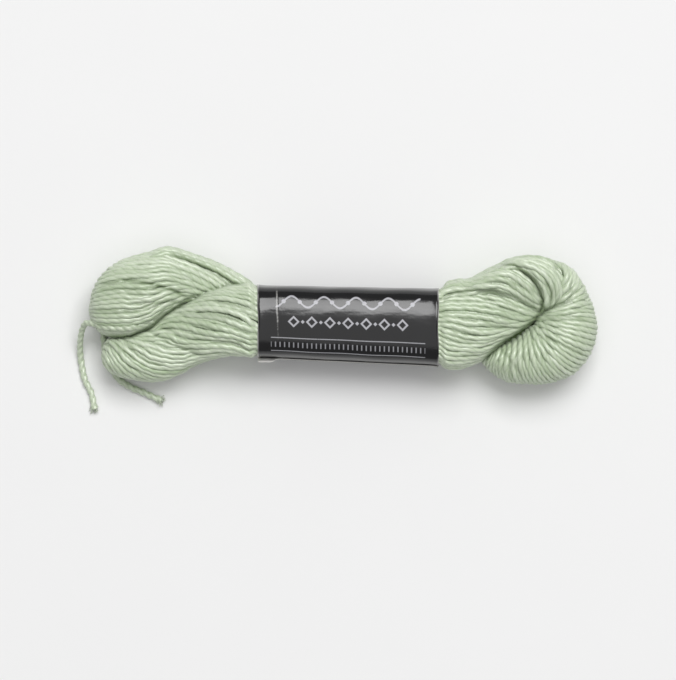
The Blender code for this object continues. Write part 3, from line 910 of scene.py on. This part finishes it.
class Threads:
    """The threads of one piece, gathered as tubes of two-ply section."""

    def __init__(self, width, pitch, sides, seed, relief=0.17):
        self.radius = width / 2 / MM
        self.relief = relief
        self.pitch = pitch / MM
        self.sides = sides
        self.rng = np.random.default_rng(seed)
        self.points, self.faces, self.along = [], [], []
        self.tones, self.shades = [], []
        self.count = 0

    def lay(self, path, tone=None, step=0.3):
        """Lays one thread along the path, whose fourth column may say how wide it is."""
        points, length = evenly(np.asarray(path, float), step)
        swell = points[:, 3] if points.shape[1] > 3 else 1.0
        points = points[:, :3]
        first, second = carried_frames(points)
        run = np.linspace(0.0, length, len(points))
        angles = 2 * math.pi * np.arange(self.sides) / self.sides
        radius = 1.0 - self.relief * (1.0 - np.abs(np.cos(angles)) ** 1.4)
        ply = 2 * math.pi * (run / self.pitch + self.rng.random())
        spin = ply[:, None] + angles[None, :]
        plump = swell * (1.0 + wander(self.rng, run, reach=0.035, wave=3.0))
        reach = self.radius * radius[None, :] * plump[:, None]
        rings = (
            points[:, None, :]
            + first[:, None, :] * (np.cos(spin) * reach)[..., None]
            + second[:, None, :] * (np.sin(spin) * reach)[..., None]
        )
        tone = self.rng.normal(0.5, 0.16) if tone is None else tone
        shades = tone + wander(self.rng, run, reach=0.07, wave=5.0)
        # The creases' painted shade goes on the skein's upper side alone.
        upper = smoothstep(rings[..., 2], 5.0, 7.0)
        self.shades.append((creased(rings, shading=True) * upper).ravel())
        self.points.append(rings.reshape(-1, 3))
        self.add_faces(len(points), run)
        self.tones.append(np.repeat(shades, self.sides))
        self.count += len(points) * self.sides

    def lay_all(self, paths, **how):
        """Lays a thread along each of the paths."""
        for path in paths:
            self.lay(path, **how)

    def add_faces(self, stations, run):
        """The faces between the last thread's sections, and its two ends."""
        sides = self.sides
        start = self.count
        ring = start + np.arange(stations - 1)[:, None] * sides
        i = np.arange(sides)[None, :]
        j = (i + 1) % sides
        quads = np.stack([ring + i, ring + j, ring + sides + j, ring + sides + i], axis=-1)
        self.faces.extend(quads.reshape(-1, 4).tolist())
        turn = np.broadcast_to(i / sides, (stations - 1, sides))
        ahead = turn + 1 / sides
        low = np.broadcast_to(run[:-1, None], turn.shape)
        high = np.broadcast_to(run[1:, None], turn.shape)
        corners = np.stack([low, turn, low, ahead, high, ahead, high, turn], axis=-1)
        self.along.append(corners.reshape(-1, 2))
        last = start + (stations - 1) * sides
        self.faces.append(list(range(start, start + sides))[::-1])
        self.faces.append(list(range(last, last + sides)))
        self.along.append(np.zeros((2 * sides, 2)))

    def piece(self, name, material):
        """The threads as one mesh object, with their UV map and their points' values."""
        data = bpy.data.meshes.new(name)
        data.from_pydata((np.concatenate(self.points) * MM).tolist(), [], self.faces)
        layer = data.uv_layers.new(name="thread")
        layer.data.foreach_set("uv", np.concatenate(self.along).astype(np.float32).ravel())
        for label, values in (("tone", self.tones), ("shade", self.shades)):
            carried = data.attributes.new(label, "FLOAT", "POINT")
            carried.data.foreach_set("value", np.concatenate(values).astype(np.float32))
        data.shade_smooth()
        data.materials.append(material)
        data.validate()
        return new_object(name, data)


def new_object(name, data):
    """An object of the mesh, in the scene."""
    made = bpy.data.objects.new(name, data)
    bpy.context.scene.collection.objects.link(made)
    return made


def face_outwards(piece):
    """Turns all faces of the piece so that they point out of it."""
    bpy.ops.object.select_all(action="DESELECT")
    bpy.context.view_layer.objects.active = piece
    piece.select_set(True)
    bpy.ops.object.mode_set(mode="EDIT")
    bpy.ops.mesh.select_all(action="SELECT")
    bpy.ops.mesh.normals_make_consistent(inside=False)
    bpy.ops.object.mode_set(mode="OBJECT")


def add_piece(piece, slot, *nodes):
    """Puts a finished piece on the skein's body."""
    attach(piece, "root")
    if nodes:
        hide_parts(*nodes)


def lay_family(threads, under, place, rows, at, turns, loose=1.0):
    """Lays threads side by side on one bundle, and plainer ones in the gaps between them."""
    threads.lay_all(thread_family(threads, place, rows, at, turns, loose=loose))
    under.lay_all(under_family(under, place, rows, at, turns), **UNDER_THREAD)


def over_the_tip(threads, rows, upper, lower):
    """The path over a bundle's left tip, from a place on its top to one on its underside.

    On its way to the tip the thread half keeps its place across the skein, as yarn does over a
    peg, and half draws in with the bundle's outline.
    """
    steps = 240
    stations = np.linspace(rows[0].x, upper[0], steps)
    front, back, foot, top = np.moveaxis(through_rows(rows, stations), -1, 0)
    sunk = threads.radius + 0.05
    middle, half = (front + back) / 2, np.maximum((back - front) / 2 - sunk, 0.05)
    height, centre = np.maximum((top - foot) / 2 - sunk, 0.05), (foot + top) / 2
    kept = (upper[1] + lower[1]) / 2
    place = (kept + middle + (kept - middle[-1]) / half[-1] * half) / 2
    share = np.abs(place - middle) / half
    # The thread turns back where its place comes out of the bundle.
    first = 0
    past = np.flatnonzero(share >= 1.0)
    if len(past):
        first = past[-1] + 1 if past[-1] < steps - 2 else steps - 4
    rise = (1.0 - np.minimum(share[first:], 1.0) ** FULLNESS) ** (1 / FULLNESS) * height[first:]
    columns = (stations[first:], place[first:])
    over = np.column_stack([*columns, centre[first:] + rise])[::-1]
    below = np.column_stack([*columns, centre[first:] - rise])
    loop = np.concatenate([over, below])
    width = np.linspace(upper[3], lower[3], len(loop))
    return on_the_floor(np.column_stack([loop, width]), threads.radius * 0.95)


# ---------------------------------------------------------------- the operators


class SKEIN_OT_studio(bpy.types.Operator):
    """Adds the pale floor, the soft lights and the camera straight above"""

    bl_idname = "skein.studio"
    bl_label = "Studio"

    def execute(self, context):
        colours = context.scene.skein_colours
        bpy.ops.object.select_all(action="DESELECT")
        bpy.ops.mesh.primitive_plane_add(size=3.0, location=(0.0, 0.0, 0.0))
        floor = context.object
        floor.name = "floor"
        floor.data.materials.append(floor_finish(colours))
        bpy.ops.object.camera_add(location=(-0.002, -0.0048, 0.75), rotation=(0.0, 0.0, 0.0))
        camera = context.object
        sensor, above_skein, view_width = 36.0, 0.741, 0.136
        camera.data.sensor_width = sensor
        camera.data.lens = sensor * above_skein / view_width
        camera.data.clip_start = 0.01
        camera.data.clip_end = 20.0
        context.scene.camera = camera
        self.add_light("key", place=(0.34, 0.90, 1.81), size=(1.30, 0.92), power=28.4)
        self.add_light("fill", place=(0.0, -0.1, 2.2), size=(2.4, 2.4), power=13.0)
        world = bpy.data.worlds.new("studio")
        world.use_nodes = True
        air = world.node_tree.nodes["Background"]
        air.inputs["Color"].default_value = (1.0, 1.0, 1.0, 1.0)
        air.inputs["Strength"].default_value = 0.30
        context.scene.world = world
        context.scene.view_settings.view_transform = "Standard"
        return {"FINISHED"}

    def add_light(self, name, place, size, power):
        """A soft rectangular light that looks at the frame's origin."""
        bpy.ops.object.light_add(type="AREA", location=place)
        lamp = bpy.context.object
        lamp.name = name
        lamp.data.shape = "RECTANGLE"
        lamp.data.size, lamp.data.size_y = size
        lamp.data.energy = power
        lamp.rotation_euler = (-Vector(place)).to_track_quat("-Z", "Y").to_euler()


class SKEIN_OT_loose_ends(bpy.types.Operator):
    """Lays the two loose ends of the thread, with frayed tips"""

    bl_idname = "skein.loose_ends"
    bl_label = "Loose ends"

    def execute(self, context):
        sizes = context.scene.skein_sizes
        material = floss_finish("loose_end_floss", context.scene.skein_colours)
        path_step = 0.25
        routes = (("loose_end_1", LOOSE_END_1_ROUTE), ("loose_end_2", LOOSE_END_2_ROUTE))
        for number, (node, route) in enumerate(routes, 1):
            path, length = self.smooth(route, path_step)
            sides = sizes.thread_sides + 2
            threads = Threads(sizes.end_width, sizes.end_pitch, sides, 40 + number, relief=0.26)
            tucked = path.copy()
            if number == 1:
                # Its root sinks into the lobe that it comes out of.
                run = np.arange(len(path)) * path_step
                tucked[:, 2] -= sizes.end_width / MM * (1.0 - smoothstep(run, 0.5, 5.0))
            threads.lay(tucked, tone=0.66, step=path_step)
            piece = threads.piece(f"thread_end_{number}", material)
            tip = self.frayed_tip(path, 60 + number).piece(f"frayed_tip_{number}", material)
            add_piece(tip, "floss")
            add_piece(piece, "floss", node)
            tuple(v * MM for v in route[0])
            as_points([tuple(p * MM) for p in path[::4]] + [tuple(path[-1] * MM)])
        return {"FINISHED"}

    def smooth(self, route, step):
        """A smooth path through the route, with points that far apart, and its length."""
        points = np.array(route, float)
        points = np.vstack([2 * points[0] - points[1], points, 2 * points[-1] - points[-2]])
        t = np.linspace(0.0, 1.0, 20, endpoint=False)[:, None]
        fine = []
        for p0, p1, p2, p3 in zip(points, points[1:], points[2:], points[3:]):
            bend = (2 * p0 - 5 * p1 + 4 * p2 - p3) * t**2 + (3 * p1 - p0 - 3 * p2 + p3) * t**3
            fine.append(0.5 * (2 * p1 + (p2 - p0) * t + bend))
        fine.append(points[-2][None, :])
        return evenly(np.concatenate(fine), step)

    def frayed_tip(self, path, seed):
        """Loose filaments that splay from the last of the thread."""
        fray = Threads(width=0.12 * MM, pitch=1.5 * MM, sides=5, seed=seed)
        rng = fray.rng
        end = path[-1]
        ahead = end - path[-5]
        ahead /= np.linalg.norm(ahead)
        beside = np.cross(ahead, (0.0, 0.0, 1.0))
        filaments, lowest = 64, 0.12
        for _ in range(filaments):
            angle = rng.normal(0.0, 0.42)
            reach = rng.uniform(0.4, 1.4)
            lift = rng.uniform(0.0, 0.5)
            start = end - ahead * rng.uniform(0.3, 1.2) + beside * rng.uniform(-0.45, 0.45)
            start = start + np.array([0.0, 0.0, rng.uniform(-0.4, 0.45)])
            t = np.linspace(0.0, 1.0, 7)[:, None]
            way = ahead * math.cos(angle) + beside * math.sin(angle)
            curl = beside * rng.uniform(-0.5, 0.5)
            line = start + way * reach * t + curl * t * t + np.array([0.0, 0.0, lift]) * t
            line[:, 2] = np.maximum(line[:, 2] - 0.4 * t[:, 0] ** 2, lowest)
            fray.lay(line, tone=rng.normal(0.85, 0.1), step=0.4)
        return fray


class SKEIN_OT_heart(bpy.types.Operator):
    """Makes the body of inner turns that fills the skein under its outer turns, dark with painted
    shade
    """

    bl_idname = "skein.heart"
    bl_label = "Inner turns"
    sides = 40
    turn = 2 * math.pi * np.arange(sides) / sides

    def execute(self, context):
        sizes = context.scene.skein_sizes
        depth = sizes.thread_width / MM * HEART_DEPTH
        verts, faces = [], []
        for place, rows in (
            (straight_place, UPPER_LOBE),
            (straight_place, LEFT_FRONT_BUNDLE),
            (straight_place, RIGHT_FRONT_BUNDLE),
            (straight_place, RIGHT_BACK_BUNDLE),
            (knob_place, COLLAR),
            (knob_place, FAN),
        ):
            self.loft(verts, faces, self.bundle_rings(place, rows, depth))
        self.loft(verts, faces, self.waist_rings(depth + HEART_FOOT))
        self.loft(verts, faces, self.tuck_rings())
        data = bpy.data.meshes.new("inner_turns")
        data.from_pydata(verts, [], faces)
        data.shade_smooth()
        # The inner turns, the tuck's among them, wear the dark green of painted shade.
        data.materials.append(inner_shade_finish(context.scene.skein_colours))
        piece = new_object("inner_turns", data)
        face_outwards(piece)
        add_piece(piece, "floss", "hank")
        return {"FINISHED"}

    def bundle_rings(self, place, rows, depth):
        """Rings so deep in a bundle, drawn in where it goes into the band."""
        for at in np.linspace(rows[0][0], rows[-1][0], 60):
            ring = place(rows, np.full_like(self.turn, at), self.turn, depth)
            ring[:, 2] = np.maximum(ring[:, 2], HEART_FOOT)
            yield into_the_band(ring, depth + HEART_FOOT)

    def waist_rings(self, depth):
        """Rings so deep in the band, from one end of it to the other."""
        for x in np.linspace(0.6 - BAND_HALF, BAND_HALF - 0.6, 20):
            width, height, y, z = band_at(x / BAND_HALF / 2 + 0.5)
            across, up = oval(self.turn, width / 2 - depth, height / 2 - depth)
            yield np.column_stack([np.full_like(self.turn, x), y + across, z + up])

    def tuck_rings(self):
        """The turns at the bottom of the tuck, between the fan and the bundle that goes into it."""
        height, half_width, half_height = 4.6, 2.2, 4.2
        square_to_line = (-0.64, 0.77)
        for share in np.linspace(0.0, 1.0, 24):
            x, y = 27.4 + 11.0 * share, -8.4 + 9.2 * share
            swell = math.sin(math.pi * (0.04 + 0.92 * share)) ** 0.5
            off = np.cos(self.turn) * half_width * swell
            up = height + np.sin(self.turn) * half_height * swell
            yield np.column_stack([x + off * square_to_line[0], y + off * square_to_line[1], up])

    def loft(self, verts, faces, rings):
        """Adds a closed skin through the rings."""
        first = len(verts)
        for ring in rings:
            verts.extend((ring * MM).tolist())
        last = len(verts) - self.sides
        for a in range(first, last, self.sides):
            for i in range(self.sides):
                j = (i + 1) % self.sides
                faces.append([a + i, a + j, a + self.sides + j, a + self.sides + i])
        for end in (first, last):
            faces.append(list(range(end, end + self.sides)))


def wound_threads(sizes, seed):
    """A set of outer threads and a set of plainer ones for under them."""
    outer = Threads(sizes.thread_width, sizes.ply_pitch, sizes.thread_sides, seed)
    under = Threads(sizes.thread_width, sizes.ply_pitch, 6, seed + 100, relief=0.1)
    return outer, under


class SKEIN_OT_left_end(bpy.types.Operator):
    """Lays the turns of the skein's left end: its upper lobe and the bundle in front of it"""

    bl_idname = "skein.left_end"
    bl_label = "Left end"

    def execute(self, context):
        sizes = context.scene.skein_sizes
        material = floss_finish("wound_floss", context.scene.skein_colours)
        upper, under = wound_threads(sizes, seed=11)
        self.lay_upper_lobe(upper, under)
        add_piece(upper.piece("upper_lobe_turns", material), "floss")
        back, _ = wound_threads(sizes, seed=12)
        self.lay_back_turns(back)
        add_piece(back.piece("back_turns", material), "floss")
        front, _ = wound_threads(sizes, seed=13)
        # These start at the widest place and go both ways from it.
        rows, middle = LEFT_FRONT_BUNDLE, -36.0
        count = threads_round(rows, middle, front.radius)
        starts = even_turns(rows, middle, front.radius, count)
        back_way = np.linspace(middle, rows[0].x + 0.15, 160)
        ahead = np.linspace(middle, rows[-1].x, 160)
        lefts = follow_twist(LEFT_FRONT_TWIST, back_way, starts)[:, ::-1]
        rights = follow_twist(LEFT_FRONT_TWIST, ahead, starts)[:, 1:]
        turns = np.concatenate([lefts, rights], axis=1)
        stations = np.concatenate([back_way[::-1], ahead[1:]])
        lay_family(front, under, straight_place, rows, stations, turns)
        add_piece(front.piece("left_front_turns", material), "floss")
        add_piece(under.piece("left_under_turns", material), "floss")
        return {"FINISHED"}

    def lay_upper_lobe(self, threads, under):
        """Turns that come over the left tip, spread over the lobe and go in under the band."""
        rows, level = UPPER_LOBE, -45.0
        count = threads_round(rows, -41.0, threads.radius) // 2 * 2
        stations = np.linspace(level, rows[-1].x, 200)
        starts = even_turns(rows, level, threads.radius, count)
        turns = follow_twist(UPPER_LOBE_TWIST, stations, starts)
        loose = smoothstep(stations, level, level + 3.5)
        paths = thread_family(threads, straight_place, rows, stations, turns, loose=loose)
        for number in range(count // 2):
            # The section is even from its underside on, so these two lie one above the other.
            lower = paths[(count // 4 - 1 - number) % count]
            upper = paths[(count // 4 + number + count % 4 // 2) % count]
            tip = over_the_tip(threads, rows, upper[0], lower[0])
            threads.lay(self.joined(upper[::-1], tip, lower))
        below = under_family(under, straight_place, rows, stations, turns)
        under.lay_all(below, **UNDER_THREAD)

    def joined(self, first, middle, last):
        """One path of three, with its joints eased."""
        path, _ = evenly(np.concatenate([first, middle[1:-1], last]), step=0.15)
        for _ in range(12):
            path[1:-1] = path[1:-1] * 0.5 + (path[:-2] + path[2:]) * 0.25
        return path

    def lay_back_turns(self, threads):
        """A few turns that lie along the back of the upper lobe, over the others."""
        start = -42.0
        stations = np.linspace(start, -17.0, 160)
        angles = np.radians(np.array([-22.0, -8.0, 6.0, 19.0, 31.0]))
        turns = angles[:, None] + np.radians(0.5 * (stations - start))[None, :]
        ends = smoothstep(stations, start, -36.0) * smoothstep(-stations, 18.5, 22.0)
        lying = {"raised": ends - 0.7, "loose": 0.5, "pressed": 0.0}
        threads.lay_all(
            thread_family(threads, straight_place, UPPER_LOBE, stations, turns, **lying)
        )


class SKEIN_OT_right_end(bpy.types.Operator):
    """Lays the turns of the two bundles between the band and the knob"""

    bl_idname = "skein.right_end"
    bl_label = "Right end"

    def execute(self, context):
        sizes = context.scene.skein_sizes
        material = bpy.data.materials["wound_floss"]
        bundles = (
            ("right_front_turns", RIGHT_FRONT_BUNDLE, RIGHT_FRONT_TWIST, 24.0, 21),
            ("right_back_turns", RIGHT_BACK_BUNDLE, RIGHT_BACK_TWIST, 30.0, 22),
        )
        _, under = wound_threads(sizes, seed=23)
        for name, rows, twist, widest, seed in bundles:
            threads, _ = wound_threads(sizes, seed)
            count = threads_round(rows, widest, threads.radius)
            stations = np.linspace(rows[0].x, rows[-1].x - 0.3, 170)
            starts = even_turns(rows, stations[0], threads.radius, count)
            turns = follow_twist(twist, stations, starts)
            lay_family(threads, under, straight_place, rows, stations, turns)
            add_piece(threads.piece(name, material), "floss")
        add_piece(under.piece("right_under_turns", material), "floss")
        return {"FINISHED"}


class SKEIN_OT_knob(bpy.types.Operator):
    """Lays the turns of the knob: the collar that goes round it and the fan that it opens in"""

    bl_idname = "skein.knob"
    bl_label = "Knob"

    def execute(self, context):
        sizes = context.scene.skein_sizes
        material = bpy.data.materials["wound_floss"]
        collar, under = wound_threads(sizes, seed=31)
        self.lay_collar(collar, under)
        add_piece(collar.piece("collar_turns", material), "floss")
        fan, _ = wound_threads(sizes, seed=32)
        self.lay_fan(fan, under)
        add_piece(fan.piece("fan_turns", material), "floss")
        add_piece(under.piece("knob_under_turns", material), "floss")
        return {"FINISHED"}

    def lay_collar(self, threads, under):
        """Turns that go round the knob from its back to the tuck."""
        middle, mean_radius = 80.0, 9.5
        angles = np.linspace(COLLAR[0].angle, COLLAR[-1].angle, 130)
        run = np.radians(COLLAR[0].angle - angles) * mean_radius
        count = threads_round(COLLAR, middle, threads.radius, spacing=0.98)
        starts = even_turns(COLLAR, middle, threads.radius, count)
        turns = follow_twist(COLLAR_TWIST, run, starts)
        loose = smoothstep(run, 3.0, 6.0)
        lay_family(threads, under, knob_place, COLLAR, angles, turns, loose)

    def lay_fan(self, threads, under):
        """Turns that come out of the tuck, over the knob's side and back in under it."""
        first, last = FAN[0].angle - 1.0, FAN[-1].angle + 1.0
        outline, spacing = 13.2, 0.97
        count = int(math.radians(first - last) * outline / spacing)
        turn = np.radians(np.linspace(205.0, -125.0, 220))
        inward = np.clip(turn / math.pi, -0.7, 1.0)[None, :]
        outer = first - (first - last) * (np.arange(count) + 0.5) / count
        inner, bend = through_rows(FAN_LEAN, outer).T
        share = np.where(inward < 0, inward, 1.0 - (1.0 - inward) ** bend[:, None])
        angles = outer[:, None] + (inner - outer)[:, None] * share
        angles = np.clip(angles, FAN[-1].angle, FAN[0].angle)
        turns = np.broadcast_to(turn, angles.shape).copy()
        threads.lay_all(thread_family(threads, knob_place, FAN, angles, turns))
        between = (angles[1:] + angles[:-1]) / 2
        paths = knob_place(FAN, between, turns[1:], threads.radius * 2.0)
        under.lay_all(on_the_floor(paths, threads.radius), **UNDER_THREAD)


class SKEIN_OT_band(bpy.types.Operator):
    """Wraps the glossy paper band round the skein's middle, with its lap at the front"""

    bl_idname = "skein.band"
    bl_label = "Paper band"

    def execute(self, context):
        sizes = context.scene.skein_sizes
        colours = context.scene.skein_colours
        bpy.ops.object.select_all(action="DESELECT")
        bpy.ops.mesh.primitive_grid_add(x_subdivisions=60, y_subdivisions=260, size=1.0)
        piece = context.object
        piece.name = "paper_band"
        mesh = piece.data
        while mesh.uv_layers:
            mesh.uv_layers.remove(mesh.uv_layers[0])
        flat = np.empty(len(mesh.vertices) * 3, np.float32)
        mesh.vertices.foreach_get("co", flat)
        flat = flat.reshape(-1, 3).astype(float)
        placed, sheet = self.wrapped(flat[:, 0], flat[:, 1] + 0.5, sizes)
        mesh.vertices.foreach_set("co", (placed * MM).astype(np.float32).ravel())
        layer = mesh.uv_layers.new(name="sheet")
        corners = np.empty(len(mesh.loops), np.int32)
        mesh.loops.foreach_get("vertex_index", corners)
        layer.data.foreach_set("uv", sheet[corners].astype(np.float32).ravel())
        mesh.materials.append(band_finish(colours))
        mesh.materials.append(bare_paper_finish(colours))
        mesh.shade_smooth()
        face_outwards(piece)
        wall = piece.modifiers.new("paper", "SOLIDIFY")
        wall.thickness = sizes.paper
        wall.offset = -1.0
        wall.material_offset = 1
        wall.material_offset_rim = 1
        bpy.ops.object.modifier_apply(modifier=wall.name)
        add_piece(piece, "band_paper", "label_band")
        return {"FINISHED"}

    def section(self, turn, half_width, half_height):
        """Across and up of a rounded box with domed sides, by the directions of its points."""
        c, s = np.cos(turn), np.sin(turn)
        reach = (np.abs(c) ** BAND_FULLNESS + np.abs(s) ** BAND_FULLNESS) ** (-1 / BAND_FULLNESS)
        u, v = reach * c, reach * s
        side, top = BAND_DOME
        across = (half_width - side) * u + side * np.sign(u) * (1.0 - v * v)
        up = (half_height - top) * v + top * np.sign(v) * (1.0 - u * u)
        return across, up

    def wrapped(self, along, share, sizes):
        """Places of the sheet's points round the skein, and their millimetres on the sheet."""
        # The sheet starts under its own end, goes over the top to the back and comes up in front.
        fine = np.radians(np.linspace(214.0, 166.0 - 360.0, 2001))
        middle = band_at(0.5)
        across, up = self.section(fine, middle[0] / 2, middle[1] / 2)
        run = run_of(np.hypot(np.diff(across), np.diff(up)))
        front = np.interp(-math.pi, -fine, run)
        turn = np.interp(share * run[-1], run, fine)
        x = along * (sizes.band_length / MM)
        mouth = band_at((along + 0.5)[:, None])
        # It stands off where it laps over itself, peels a little there and curls at one corner.
        degrees = np.degrees(-turn)
        lap = smoothstep(degrees, 142.0, 152.0)
        peeled = smoothstep(degrees, 176.0, 194.0)
        curled = smoothstep(degrees, 187.5, 194.0) * smoothstep(-x, 13.8, 15.4)
        proud = (sizes.paper / MM + 0.04) * lap + 0.06 * peeled + 0.75 * curled**1.5
        ripple = 0.05 * np.sin(x * 0.55 + 3.0 * np.sin(turn)) * np.sin(2 * turn + 0.4)
        flare = 0.12 * np.clip((np.abs(x) - 16.2) / 1.8, 0.0, 1.0) ** 2
        grow = proud + ripple + flare
        across, up = self.section(turn, mouth[:, 0] / 2 + grow, mouth[:, 1] / 2 + grow)
        # Its cut edges aren't quite straight.
        uneven = 0.12 * np.sin(2.3 * turn + 1.0) + 0.06 * np.sin(7.0 * turn)
        x = x + uneven * (np.abs(along) * 2) ** 4 * np.sign(along)
        placed = np.column_stack([x, mouth[:, 2] + across, mouth[:, 3] + up])
        # Millimetres up the sheet, from the front of the skein.
        sheet = np.column_stack([x, share * run[-1] - front])
        return placed, sheet


class SKEIN_PT_panel(bpy.types.Panel):
    """The skein's pieces, its sizes and its colours."""

    bl_label = "Skein of floss"
    bl_idname = "SKEIN_PT_panel"
    bl_space_type = "VIEW_3D"
    bl_region_type = "UI"
    bl_category = "Skein"

    def draw(self, context):
        layout = self.layout
        for operator in OPERATORS:
            layout.operator(operator.bl_idname)
        for group in (context.scene.skein_sizes, context.scene.skein_colours):
            box = layout.box()
            for name in group.__annotations__:
                box.prop(group, name)


OPERATORS = (
    SKEIN_OT_studio,
    SKEIN_OT_loose_ends,
    SKEIN_OT_heart,
    SKEIN_OT_left_end,
    SKEIN_OT_right_end,
    SKEIN_OT_knob,
    SKEIN_OT_band,
)
CLASSES = (SkeinSizes, SkeinColours, *OPERATORS, SKEIN_PT_panel)


def register():
    for made in CLASSES:
        bpy.utils.register_class(made)
    bpy.types.Scene.skein_sizes = PointerProperty(type=SkeinSizes)
    bpy.types.Scene.skein_colours = PointerProperty(type=SkeinColours)


def unregister():
    del bpy.types.Scene.skein_colours
    del bpy.types.Scene.skein_sizes
    for made in reversed(CLASSES):
        bpy.utils.unregister_class(made)


def main():
    register()
    bpy.ops.skein.studio()
    bpy.ops.skein.loose_ends()
    bpy.ops.skein.heart()
    bpy.ops.skein.left_end()
    bpy.ops.skein.right_end()
    bpy.ops.skein.knob()
    bpy.ops.skein.band()


if __name__ == "__main__":
    main()
